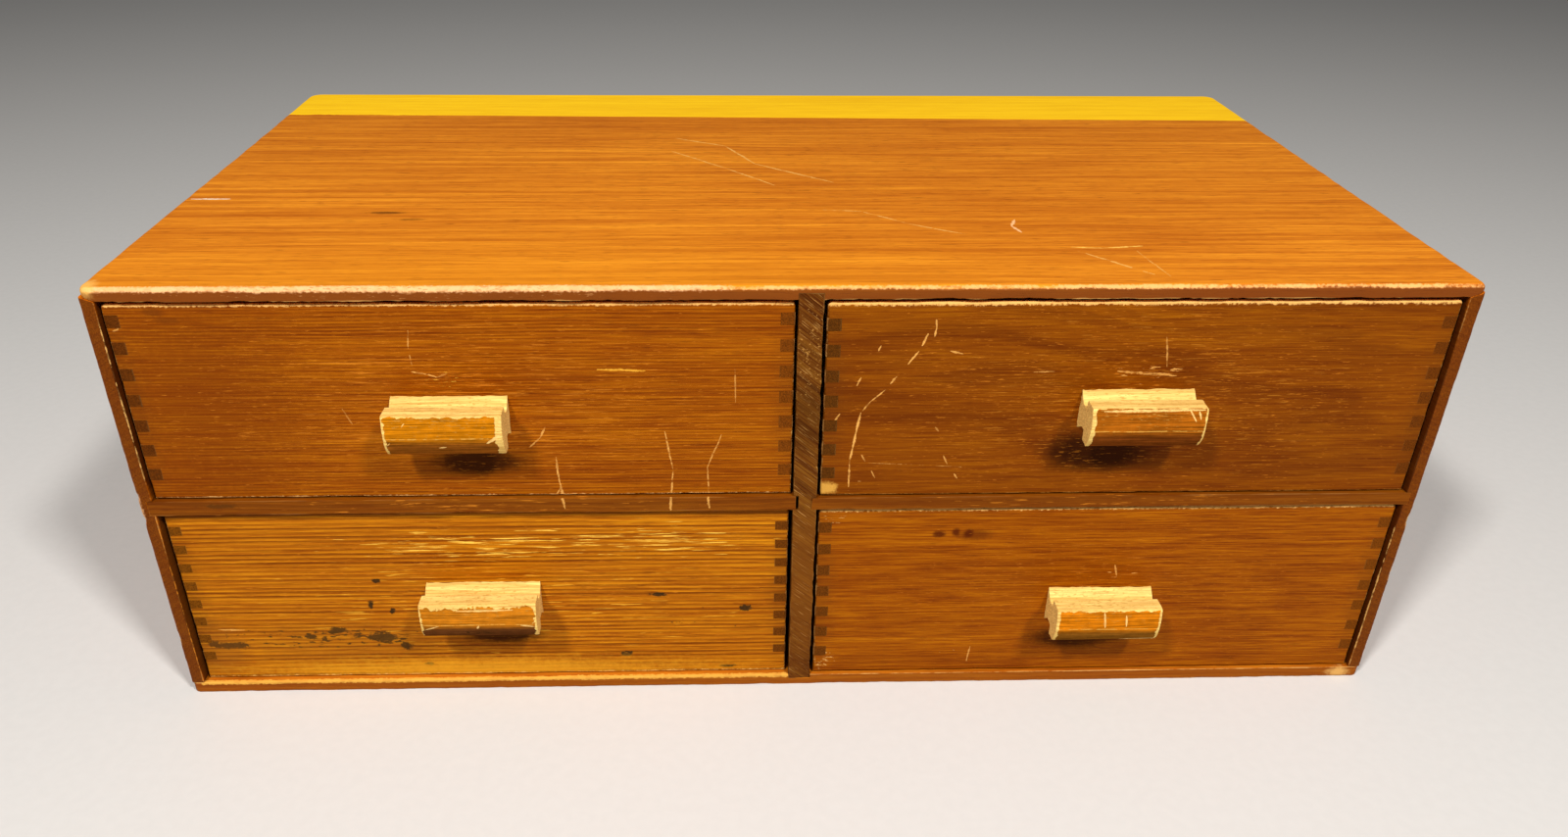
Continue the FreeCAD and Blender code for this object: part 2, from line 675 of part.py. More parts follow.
def make_drawer(place):
    """One drawer in its bay: four boards joined by fingers, a bottom and a pull."""
    drawer = drawers[place]
    level, hand = place.split("_")
    bay_start, bay_end = (left_wall, divider_left) if hand == "left" else (divider_right, right_wall)
    bay_floor = shelf_underside + shelf_thicknesses[hand] if level == "upper" else bottom_thickness
    bay_roof = top_underside if level == "upper" else shelf_underside
    drawer["width"] = bay_end - bay_start - drawer["side_gap"] * 2
    drawer["height"] = bay_roof - bay_floor - floor_gap - drawer["head_gap"]
    drawer["length"] = inner_depth - drawer["recess"] - rear_gap
    drawer["x"] = bay_start + drawer["side_gap"]
    drawer["y"] = case_front + drawer["recess"]
    drawer["z"] = bay_floor + floor_gap
    drawer["back_y"] = drawer["y"] + drawer["length"] - drawer_back_thickness
    room = drawer["height"] - drawer["first_finger"] - drawer["finger_height"] - least_top_land
    drawer["finger_count"] = whole(room / drawer["finger_pitch"]) + 1
    drawer["pull_x"] = drawer["x"] + drawer["width"] / 2 + drawer["pull_shift"]
    drawer["pull_z"] = drawer["z"] + drawer["pull_rise"]
    brad_level = drawer["pull_z"] + neck_rise + neck_height / 2
    half_spacing = pull_brad_spacing / 2
    drawer["brads"] = [(drawer["pull_x"] - half_spacing, brad_level), (drawer["pull_x"] + half_spacing, brad_level)]
    make_drawer_front(place, drawer)
    make_drawer_side(place, drawer, on_left=True)
    make_drawer_side(place, drawer, on_left=False)
    make_drawer_back(place, drawer)
    make_drawer_bottom(place, drawer)
    make_pull(place, drawer)
    make_brads(f"{place}_pull_brads", drawer["brads"], drawer["y"] + front_thickness, pull_brad_length)


def check_model():
    """Stop before anything is written if an object failed or a piece has no sound shape."""
    for thing in doc.Objects:
        if "Invalid" in thing.State or "Error" in thing.State:
            raise RuntimeError(f"{thing.Label} failed: {thing.State}")
    for subpart in subparts:
        if subpart.Shape.isNull() or not subpart.Shape.isValid():
            raise RuntimeError(f"{subpart.Label} has no valid shape")


def write_parts():
    os.makedirs("parts", exist_ok=True)
    for subpart in subparts:
        subpart.Shape.exportStep(f"parts/{subpart.Label}.step")
        solids = len(subpart.Shape.Solids)
        print(f"{subpart.Label}: {solids} solid(s), {subpart.Shape.Volume / 1000:.2f} cm3")


make_top_board()
make_top_strip()
make_bottom_board()
make_side("case_left_side", on_left=True)
make_side("case_right_side", on_left=False)
make_divider()
make_shelf("left")
make_shelf("right")
make_back_panel()
for drawer_place in drawers:
    make_drawer(drawer_place)
doc.recompute()
check_model()
write_parts()
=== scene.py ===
import json
import math

import bmesh
import bpy
from mathutils import Matrix, Vector, noise


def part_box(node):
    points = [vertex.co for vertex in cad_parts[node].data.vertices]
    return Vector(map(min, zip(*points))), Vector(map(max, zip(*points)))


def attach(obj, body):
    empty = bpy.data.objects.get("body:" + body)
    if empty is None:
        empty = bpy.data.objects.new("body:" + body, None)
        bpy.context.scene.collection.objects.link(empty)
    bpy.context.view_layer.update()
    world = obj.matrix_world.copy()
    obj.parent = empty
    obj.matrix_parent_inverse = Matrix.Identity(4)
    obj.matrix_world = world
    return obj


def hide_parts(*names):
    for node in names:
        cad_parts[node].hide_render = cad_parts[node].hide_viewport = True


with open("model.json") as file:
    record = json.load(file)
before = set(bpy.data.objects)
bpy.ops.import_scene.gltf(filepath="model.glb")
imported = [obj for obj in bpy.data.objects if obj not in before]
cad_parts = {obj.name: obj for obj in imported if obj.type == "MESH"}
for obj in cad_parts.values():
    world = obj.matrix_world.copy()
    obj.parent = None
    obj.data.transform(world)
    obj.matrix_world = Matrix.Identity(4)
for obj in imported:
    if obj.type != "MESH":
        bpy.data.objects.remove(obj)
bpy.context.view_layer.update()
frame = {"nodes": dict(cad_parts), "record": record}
mm = 0.001
nodes = frame["nodes"]
bodyOf = {node: body for body, members in frame["record"]["behaviour"]["bodies"].items() for node in members}
print("frame loaded:", len(nodes), "nodes")


def putDown(name, data):
    thing = bpy.data.objects.new(name, data)
    bpy.context.scene.collection.objects.link(thing)
    return thing


# A piece's lowest and highest corner, in millimetres
def boxOf(node):
    return [tuple(1000 * value for value in corner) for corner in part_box(node)]


# Short ways to add shader nodes. A value may be a number, a vector, a colour of three numbers or
# another node's socket.
def plug(tree, value, socket):
    if isinstance(value, bpy.types.NodeSocket):
        tree.links.new(value, socket)
    else:
        socket.default_value = (*value, 1) if socket.type == "RGBA" else value


def plugAll(tree, values, sockets):
    for label, value in values.items():
        plug(tree, value, sockets[label])


def addNode(tree, kind, values=(), **settings):
    node = tree.nodes.new("ShaderNode" + kind)
    node.location = (len(tree.nodes) % 12 * 190, -(len(tree.nodes) // 12) * 260)
    for setting, value in settings.items():
        setattr(node, setting, value)
    plugAll(tree, dict(values), node.inputs)
    return node


def maths(tree, operation, a, b=0.0, c=0.0, clamp=False):
    values = {0: a, 1: b, 2: c}
    return addNode(tree, "Math", values, operation=operation, use_clamp=clamp).outputs[0]


def minus(tree, a, b, clamp=False):
    return maths(tree, "SUBTRACT", a, b, clamp=clamp)


def times(tree, a, b, clamp=False):
    return maths(tree, "MULTIPLY", a, b, clamp=clamp)


def timesPlus(tree, a, b, c):
    return maths(tree, "MULTIPLY_ADD", a, b, c)


def vectors(tree, operation, a, b=(0, 0, 0), c=(0, 0, 0)):
    node = addNode(tree, "VectorMath", {0: a, 1: b, 2: c}, operation=operation)
    return node.outputs["Value" if operation in ("LENGTH", "DISTANCE", "DOT_PRODUCT") else "Vector"]


def partsOf(tree, vector):
    return addNode(tree, "SeparateXYZ", {0: vector}).outputs


def apart(tree, a, b):
    return vectors(tree, "SUBTRACT", a, b)


def ramp(tree, value, start, end, low=0.0, high=1.0):
    values = {"Value": value, "From Min": start, "From Max": end, "To Min": low, "To Max": high}
    return addNode(tree, "MapRange", values, interpolation_type="SMOOTHSTEP").outputs["Result"]


def blend(tree, amount, a, b, way="MIX"):
    node = addNode(tree, "Mix", {0: amount, 6: a, 7: b}, data_type="RGBA", blend_type=way)
    return node.outputs[2]


def toned(tree, colour, pattern, low, high, amount=1.0):
    return blend(tree, amount, colour, ramp(tree, pattern, 0.3, 0.7, low, high), "MULTIPLY")


def cloudy(tree, where, stretch, detail=2.0, roughness=0.5):
    stretched = vectors(tree, "MULTIPLY", where, stretch)
    values = {"Vector": stretched, "Scale": 1.0, "Detail": detail, "Roughness": roughness}
    return addNode(tree, "TexNoise", values).outputs[0]


def scaled(tree, value, factor):
    return addNode(tree, "VectorMath", {0: value, "Scale": factor}, operation="SCALE").outputs["Vector"]


# A new node group, whose first input is always the position. The other inputs are given with their usual
# values, and the outputs as floats, vectors or colours (F, V, C).
def newGroup(name, inputs, outputs):
    group = bpy.data.node_groups.new(name, "ShaderNodeTree")
    kinds = {"F": "NodeSocketFloat", "V": "NodeSocketVector", "C": "NodeSocketColor"}
    for label, usual in {"Position": (0, 0, 0), **inputs}.items():
        kind = "F" if isinstance(usual, float) else "V" if len(usual) == 3 else "C"
        socket = group.interface.new_socket(label, in_out="INPUT", socket_type=kinds[kind])
        socket.default_value = usual
    for label, kind in outputs:
        group.interface.new_socket(label, in_out="OUTPUT", socket_type=kinds[kind])
    start = group.nodes.new("NodeGroupInput")
    end = group.nodes.new("NodeGroupOutput")
    return group, start.outputs, end.inputs


def useGroup(tree, group, values):
    node = tree.nodes.new("ShaderNodeGroup")
    node.node_tree = group
    node.label = group.name
    plugAll(tree, values, node.inputs)
    return node.outputs


# Solid wood, cut from a tree whose heart runs along X. Positions are in millimetres.
def buildSolidWood():
    tree, given, result = newGroup("solidWood", {
        "Seed": 0.0, "Heart": (0, 0, -300), "Ring Width": 1.5, "Sway": 2.0, "Unevenness": 3.0,
        "Ring Strength": 0.6, "Fibre Strength": 0.4, "Streak Strength": 0.4, "Fleck Strength": 0.3,
        "Cloud Strength": 0.3, "Early Colour": (0.5, 0.2, 0.03, 1), "Late Colour": (0.25, 0.08, 0.01, 1),
        "Fleck Colour": (0.1, 0.03, 0.01, 1),
    }, [("Colour", "C"), ("Height", "F"), ("Fibre", "F")])
    place = given["Position"]
    shift = vectors(tree, "MULTIPLY", given["Seed"], (37.1, 17.3, 29.7))
    own = vectors(tree, "ADD", place, shift)
    sway = minus(tree, cloudy(tree, own, (0.007, 0.024, 0.024)), 0.5)
    wobble = minus(tree, cloudy(tree, own, (0.03, 0.16, 0.16)), 0.5)
    bend = timesPlus(tree, wobble, 0.14, sway)
    acrossGrain = vectors(tree, "MULTIPLY", apart(tree, place, given["Heart"]), (0, 1, 1))
    radius = vectors(tree, "LENGTH", acrossGrain)
    radius = timesPlus(tree, bend, given["Sway"], radius)
    phase = maths(tree, "DIVIDE", radius, given["Ring Width"])
    values = {"W": times(tree, phase, 0.23), "Scale": 1.0}
    uneven = addNode(tree, "TexNoise", values, noise_dimensions="1D").outputs[0]
    phase = timesPlus(tree, uneven, given["Unevenness"], phase)
    within = maths(tree, "FRACT", phase)
    late = times(tree, ramp(tree, within, 0.15, 0.8), ramp(tree, within, 0.86, 1.0, 1.0, 0.0))
    each = addNode(tree, "TexWhiteNoise", {"W": maths(tree, "FLOOR", phase)}, noise_dimensions="1D")
    ring = times(tree, late, timesPlus(tree, each.outputs[0], 0.6, 0.4))
    fibre = cloudy(tree, own, (0.06, 2.5, 2.5), detail=4.0, roughness=0.7)
    broad = cloudy(tree, own, (0.012, 0.34, 0.34), detail=3.0)
    fleck = ramp(tree, cloudy(tree, own, (0.16, 3.4, 3.4), detail=1.0), 0.63, 0.72)
    cloud = cloudy(tree, own, (0.008, 0.04, 0.04), detail=3.0)
    mixed = times(tree, ring, given["Ring Strength"], clamp=True)
    colour = blend(tree, mixed, given["Early Colour"], given["Late Colour"])
    tone = 1.0
    for pattern, strength in ((fibre, "Fibre Strength"), (broad, "Streak Strength"), (cloud, "Cloud Strength")):
        change = timesPlus(tree, minus(tree, pattern, 0.5), given[strength], 1.0)
        tone = times(tree, change, tone)
    # a denser stain is also redder, so the tone acts more on green and on blue
    tones = {0: tone, 1: maths(tree, "POWER", tone, 1.6), 2: maths(tree, "POWER", tone, 2.0)}
    colour = vectors(tree, "MULTIPLY", colour, addNode(tree, "CombineXYZ", tones).outputs[0])
    dark = times(tree, fleck, given["Fleck Strength"], clamp=True)
    colour = blend(tree, dark, colour, given["Fleck Colour"])
    height = timesPlus(tree, fibre, 0.5, times(tree, mixed, 0.5))
    height = minus(tree, height, times(tree, dark, 0.6))
    plugAll(tree, {"Colour": colour, "Height": height, "Fibre": fibre}, result)
    return tree


# Unevenness that all the marks of a board share: a slow drift, fine grit, longer breaks and the gaps
# that they make.
def buildRoughness():
    tree, given, result = newGroup("markRoughness", {},
                                    [("Drift", "V"), ("Grit", "F"), ("Breaks", "F"), ("Gap", "F"),
                                        ("Rough", "F")])
    slow = vectors(tree, "MULTIPLY", given["Position"], (0.09, 0.09, 0.09))
    slow = addNode(tree, "TexNoise", {"Vector": slow, "Scale": 1.0, "Detail": 3.0}).outputs[1]
    drift = apart(tree, slow, (0.5, 0.5, 0.5))
    grit = cloudy(tree, given["Position"], (0.9, 0.9, 0.9), detail=4.0, roughness=0.7)
    grit = minus(tree, grit, 0.5)
    breaks = cloudy(tree, given["Position"], (0.42, 0.42, 0.42), detail=4.0)
    gap = ramp(tree, breaks, 0.48, 0.58)
    rough = maths(tree, "ADD", grit, minus(tree, breaks, 0.5))
    plugAll(tree, {"Drift": drift, "Grit": grit, "Breaks": breaks, "Gap": gap, "Rough": rough}, result)
    return tree


# How close a point on a board is to the board's nearest edge, eaten into by wear.
def buildEdgeWear():
    tree, given, result = newGroup("edgeWear", {
        "Low": (0, 0, 0), "High": (1, 1, 1), "Width": 0.6, "Raggedness": 1.0, "Grain": (0.1, 1, 1),
    }, [("Wear", "F")])
    middle = scaled(tree, vectors(tree, "ADD", given["Low"], given["High"]), 0.5)
    half = apart(tree, given["High"], middle)
    away = vectors(tree, "ABSOLUTE", apart(tree, given["Position"], middle))
    inside = partsOf(tree, apart(tree, half, away))
    lower = maths(tree, "MINIMUM", inside[0], inside[1])
    higher = maths(tree, "MAXIMUM", inside[0], inside[1])
    # the second smallest of the three depths is the distance to the nearest edge
    second = maths(tree, "MINIMUM", higher, maths(tree, "MAXIMUM", lower, inside[2]))
    alongGrain = vectors(tree, "MULTIPLY", given["Position"], given["Grain"])
    ragged = cloudy(tree, alongGrain, (1.1, 1.1, 1.1), detail=4.0, roughness=0.65)
    patchy = cloudy(tree, given["Position"], (0.045, 0.045, 0.045), detail=2.0)
    reach = times(tree, given["Width"], ramp(tree, patchy, 0.3, 0.7, 0.25, 1.6))
    rough = times(tree, minus(tree, ragged, 0.5), given["Raggedness"])
    reach = times(tree, reach, timesPlus(tree, rough, 3.0, 1.0))
    wear = ramp(tree, minus(tree, reach, second), -0.08, 0.12)
    plug(tree, wear, result["Wear"])
    return tree


# A line mark from one point to another: wear along an arris, a scratch, a nick, a painted highlight or a painted
# shade line.
def buildLine():
    tree, given, result = newGroup("wearAndLightLine", {
        "Drift": (0, 0, 0), "Grit": 0.0, "Gap": 0.0, "Start": (0, 0, 0), "End": (1, 0, 0), "Width": 0.3,
        "Raggedness": 0.5, "Gaps": 0.3, "Wander": 0.3, "Taper": 0.5,
    }, [("Mark", "F")])
    point = apart(tree, given["Position"], given["Start"])
    point = vectors(tree, "MULTIPLY_ADD", given["Drift"], given["Wander"], point)
    whole = apart(tree, given["End"], given["Start"])
    reached = vectors(tree, "DOT_PRODUCT", point, whole)
    full = vectors(tree, "DOT_PRODUCT", whole, whole)
    along = maths(tree, "DIVIDE", reached, full, clamp=True)
    distance = vectors(tree, "DISTANCE", point, scaled(tree, whole, along))
    fromMiddle = timesPlus(tree, along, 2.0, -1.0)
    thinning = times(tree, times(tree, fromMiddle, fromMiddle), given["Taper"])
    spread = maths(tree, "DIVIDE", distance, maths(tree, "MAXIMUM", minus(tree, 1.0, thinning), 0.05))
    bite = times(tree, times(tree, given["Raggedness"], given["Width"]), -3.0)
    spread = timesPlus(tree, given["Grit"], bite, spread)
    inner = times(tree, given["Width"], 0.6)
    line = ramp(tree, spread, inner, times(tree, given["Width"], 1.15), 1.0, 0.0)
    missing = times(tree, times(tree, line, given["Gap"]), given["Gaps"])
    plug(tree, minus(tree, line, missing, clamp=True), result["Mark"])
    return tree


# Dirt, damp, a knot, painted shade or painted light: a soft patch with a broken outline.
def buildPatch():
    tree, given, result = newGroup("softPatch", {
        "Rough": 0.0, "Centre": (0, 0, 0), "Size": (5, 5, 5), "Breakup": 0.6, "Softness": 0.5,
    }, [("Patch", "F")])
    away = vectors(tree, "DIVIDE", apart(tree, given["Position"], given["Centre"]), given["Size"])
    distance = vectors(tree, "LENGTH", away)
    reach = timesPlus(tree, given["Rough"], times(tree, given["Breakup"], 4.0), distance)
    edge = minus(tree, 1.0, given["Softness"])
    plug(tree, ramp(tree, reach, edge, 1.0, 1.0, 0.0), result["Patch"])
    return tree


# Many small spots or dashes, thickest in the middle of a region and thinning out towards its rim.
def buildSpecks():
    tree, given, result = newGroup("speckField", {
        "Centre": (0, 0, 0), "Size": (5, 5, 5), "Grain": (0.4, 1.2, 1.2), "Density": 0.1,
    }, [("Specks", "F")])
    away = vectors(tree, "DIVIDE", apart(tree, given["Position"], given["Centre"]), given["Size"])
    distance = vectors(tree, "DOT_PRODUCT", away, away)
    alongGrain = vectors(tree, "MULTIPLY", given["Position"], given["Grain"])
    grains = cloudy(tree, alongGrain, (1, 1, 1), detail=3.0, roughness=0.6)
    level = maths(tree, "ADD", timesPlus(tree, distance, -0.2, grains), given["Density"])
    plug(tree, ramp(tree, level, 0.6, 0.66), result["Specks"])
    return tree


# Varnish left on the front of a pull: it ends in a ragged line a little inside the wood's edges.
def buildSkin():
    tree, given, result = newGroup("raggedSkin", {
        "Grit": 0.0, "Breaks": 0.5, "Low": (0, 0, 0), "High": (1, 1, 1), "Raggedness": 1.0, "Front": 1.0,
    }, [("Skin", "F")])
    below = partsOf(tree, apart(tree, given["Position"], given["Low"]))
    above = partsOf(tree, apart(tree, given["High"], given["Position"]))
    depth = maths(tree, "MINIMUM", maths(tree, "MINIMUM", below[0], above[0]),
        maths(tree, "MINIMUM", below[2], above[2]))
    depth = maths(tree, "MINIMUM", depth, above[1])
    slow = timesPlus(tree, minus(tree, given["Breaks"], 0.5), 2.4, given["Grit"])
    ragged = timesPlus(tree, slow, given["Raggedness"], depth)
    skin = times(tree, ramp(tree, ragged, -0.06, 0.08), ramp(tree, given["Front"], 0.15, 0.3))
    plug(tree, skin, result["Skin"])
    return tree


solidWood = buildSolidWood()
markRoughness = buildRoughness()
edgeWear = buildEdgeWear()
wearAndLightLine = buildLine()
softPatch = buildPatch()
speckField = buildSpecks()
raggedSkin = buildSkin()
print("node groups built")

# Colours that the marks use
bareWood = (0.82, 0.46, 0.13)
freshScratch = (0.8, 0.4, 0.09)
# pale wear, and on the top's front arris also a painted highlight
paleWearAndSheen = (0.92, 0.5, 0.22)
goldenWear = (0.86, 0.42, 0.035)
rubbedWood = (0.74, 0.25, 0.018)
darkStain = (0.1, 0.03, 0.003)
darkDirt = (0.035, 0.018, 0.005)


def mark(kind, values, colour, amount, depth, **more):
    return {"kind": kind, "values": values, "colour": colour, "amount": amount, "depth": depth, **more}


# The marks below are given as points in the frame, in millimetres, always in this order: where, how wide or
# large, colour and strength. Then come a line's or an arris's gaps, a patch's breakup and softness, or the
# specks' density and grain. Depth is how far a mark is sunk into the wood.
def line(points, width, colour=freshScratch, amount=0.75, gaps=0.7, ragged=0.9, wander=0.8, taper=0.6, depth=0.4):
    values = {"Width": width, "Raggedness": ragged, "Gaps": gaps, "Wander": wander, "Taper": taper}
    return mark("line", values, colour, amount, depth, points=points)


# A line along an arris, of wear or of painted highlight, is as wide at its ends as in its middle
def arris(start, end, width, colour, amount, gaps, ragged=0.9, wander=0.8):
    return line([start, end], width, colour, amount, gaps, ragged, wander, taper=0.0)


def patch(centre, size, colour, amount, breakup=0.15, softness=0.7, depth=0.0):
    values = {"Centre": centre, "Size": size, "Breakup": breakup, "Softness": softness}
    return mark("patch", values, colour, amount, depth)


def specks(centre, size, colour, amount, density, grain=(0.22, 1.3, 1.3), depth=0.3):
    values = {"Centre": centre, "Size": size, "Density": density, "Grain": grain}
    return mark("specks", values, colour, amount, depth)


def strongest(tree, masks):
    joined = None
    for mask in masks:
        joined = mask if joined is None else maths(tree, "MAXIMUM", joined, mask)
    return joined


# A mark's mask, joined from several straight lengths where its line bends.
# Scratches of one colour share a mask.
def maskOf(tree, place, rough, found):
    if found["kind"] == "scratches":
        return strongest(tree, (
            times(tree, maskOf(tree, place, rough, scratch), scratch["amount"]) for scratch in found["lines"]))
    values = {"Position": place, **found["values"]}
    if found["kind"] == "patch":
        return useGroup(tree, softPatch, {**values, "Rough": rough["Rough"]})[0]
    if found["kind"] == "specks":
        return useGroup(tree, speckField, values)[0]
    values.update({label: rough[label] for label in ("Drift", "Grit", "Gap")})
    return strongest(tree, (
        useGroup(tree, wearAndLightLine, {**values, "Start": start, "End": end})[0]
        for start, end in zip(found["points"], found["points"][1:])))


reliefDepth = 0.12  # how far the bumps stand out, in millimetres

# Which way a board's grain runs: the three numbers say which of X, Y and Z become the wood's own X, Y and Z.
grainWays = {"x": (0, 1, 2), "y": (1, 0, 2), "z": (2, 0, 1)}


def newMaterial(name):
    material = bpy.data.materials.new(name)
    material.use_nodes = True
    return material, material.node_tree, material.node_tree.nodes["Principled BSDF"]


def woodMaterial(name, box, look, marks):
    material, tree, shader = newMaterial(name)
    place = scaled(tree, addNode(tree, "TexCoord").outputs["Object"], 1000.0)
    order = grainWays[look["grain"]]
    leaning = place
    if look["lean"]:
        values = {"Vector": place, "Angle": math.radians(look["lean"])}
        leaning = addNode(tree, "VectorRotate", values, rotation_type="Y_AXIS").outputs[0]
    parts = partsOf(tree, leaning)
    turned = addNode(tree, "CombineXYZ", {i: parts[order[i]] for i in range(3)}).outputs[0]
    wood = useGroup(tree, solidWood, {
        "Position": turned, "Seed": look["seed"], "Heart": look["heart"], "Ring Width": look["ringWidth"],
        "Sway": look["sway"], "Unevenness": look["uneven"], "Ring Strength": look["ringStrength"],
        "Fibre Strength": look["fibre"], "Streak Strength": look["streak"], "Fleck Strength": look["fleck"],
        "Cloud Strength": look["cloud"], "Early Colour": look["early"], "Late Colour": look["late"],
        "Fleck Colour": look["fleckColour"]})
    colour, height = wood["Colour"], wood["Height"]
    normal = partsOf(tree, addNode(tree, "NewGeometry").outputs["Normal"])
    towardFront = times(tree, normal[1], -1.0)
    onEnd = ramp(tree, maths(tree, "ABSOLUTE", normal[order[0]]), 0.55, 0.85)
    endTone = toned(tree, look["endColour"], wood["Fibre"], 0.55, 1.4)
    colour = blend(tree, times(tree, onEnd, look["endDark"]), colour, endTone)
    rough = useGroup(tree, markRoughness, {"Position": place}) if marks else None
    # painted light: soft patches that lighten the colour
    for paintedLight in look["paintedLight"]:
        mask = times(tree, maskOf(tree, place, rough, paintedLight), paintedLight["amount"])
        colour = blend(tree, mask, colour, paintedLight["colour"])
    if look["frontShade"]:
        shade = times(tree, ramp(tree, towardFront, 0.6, 0.9), look["frontShade"])
        colour = blend(tree, shade, colour, look["frontColour"])
    if look["innerShade"]:
        shade = ramp(tree, towardFront, -0.9, -0.6, look["innerShade"], 0.0)
        inner = toned(tree, look["innerColour"], wood["Fibre"], 0.7, 1.25)
        colour = blend(tree, shade, colour, inner)
    low, high = box
    along = tuple(0.12 if i == order[0] else 1.0 for i in range(3))
    values = {"Position": place, "Low": low, "High": high, "Grain": along}
    worn = useGroup(tree, edgeWear, {**values, "Width": look["wearWidth"],
        "Raggedness": look["wearRagged"]})["Wear"]
    worn = times(tree, worn, look["wearAmount"])
    colour = blend(tree, worn, colour, look["wornColour"])
    gloss = timesPlus(tree, worn, 0.25, look["roughness"])
    gloss = timesPlus(tree, wood["Fibre"], 0.12, gloss)
    height = timesPlus(tree, worn, -0.6, height)
    if look["skin"]:
        skin = look["skin"]
        values = {"Position": place, "Grit": rough["Grit"], "Breaks": rough["Breaks"], "Front": towardFront}
        cover = useGroup(tree, raggedSkin, {**values, "Low": skin["low"], "High": skin["high"],
            "Raggedness": skin["ragged"]})["Skin"]
        # the varnish on the facet that faces down is darker: partly its own tone, partly painted shade
        downward = ramp(tree, normal[2], -0.35, -0.1, 1.0, 0.0)
        varnish = blend(tree, downward, skin["colour"], skin["lowerColour"])
        varnish = toned(tree, varnish, wood["Fibre"], 0.45, 1.45)
        varnish = toned(tree, varnish, rough["Breaks"], 0.72, 1.2, amount=0.4)
        colour = blend(tree, cover, colour, varnish)
        gloss = timesPlus(tree, cover, -0.1, gloss)
        height = timesPlus(tree, cover, 0.9, height)
    for found in marks:
        mask = times(tree, maskOf(tree, place, rough, found), found["amount"])
        colour = blend(tree, mask, colour, found["colour"])
        if found["depth"]:
            height = timesPlus(tree, mask, -found["depth"], height)
        gloss = timesPlus(tree, mask, 0.2, gloss)
    bump = addNode(tree, "Bump", {"Strength": look["relief"], "Distance": reliefDepth * mm, "Height": height})
    plugAll(tree, {
        "Base Color": colour, "Roughness": gloss, "Normal": bump.outputs["Normal"],
        "Specular IOR Level": look["specular"]}, shader.inputs)
    return material


# What most of the boards have in common. Each board below changes what differs. The heart is the middle of the
# tree that the board is cut from; it, the ring width and the sway are in millimetres. The rest are strengths.
plainBoard = {
    "grain": "x", "lean": 0.0, "seed": 1.0, "heart": (0, 20, -260), "ringWidth": 1.6, "sway": 6.0, "uneven": 3.0,
    "ringStrength": 0.7, "fibre": 1.1, "streak": 0.7, "fleck": 0.4, "cloud": 0.5, "early": (0.5, 0.125, 0.003),
    "late": (0.26, 0.045, 0.001), "fleckColour": (0.1, 0.018, 0.001), "endColour": (0.13, 0.038, 0.002),
    "endDark": 0.85, "frontShade": 0.0, "frontColour": (0.17, 0.036, 0.003), "innerShade": 0.0,
    "innerColour": (0.4, 0.17, 0.045), "wornColour": bareWood, "wearWidth": 0.2, "wearRagged": 1.0,
    "wearAmount": 0.6, "roughness": 0.45, "relief": 0.6, "specular": 0.04, "skin": None, "paintedLight": (),
}

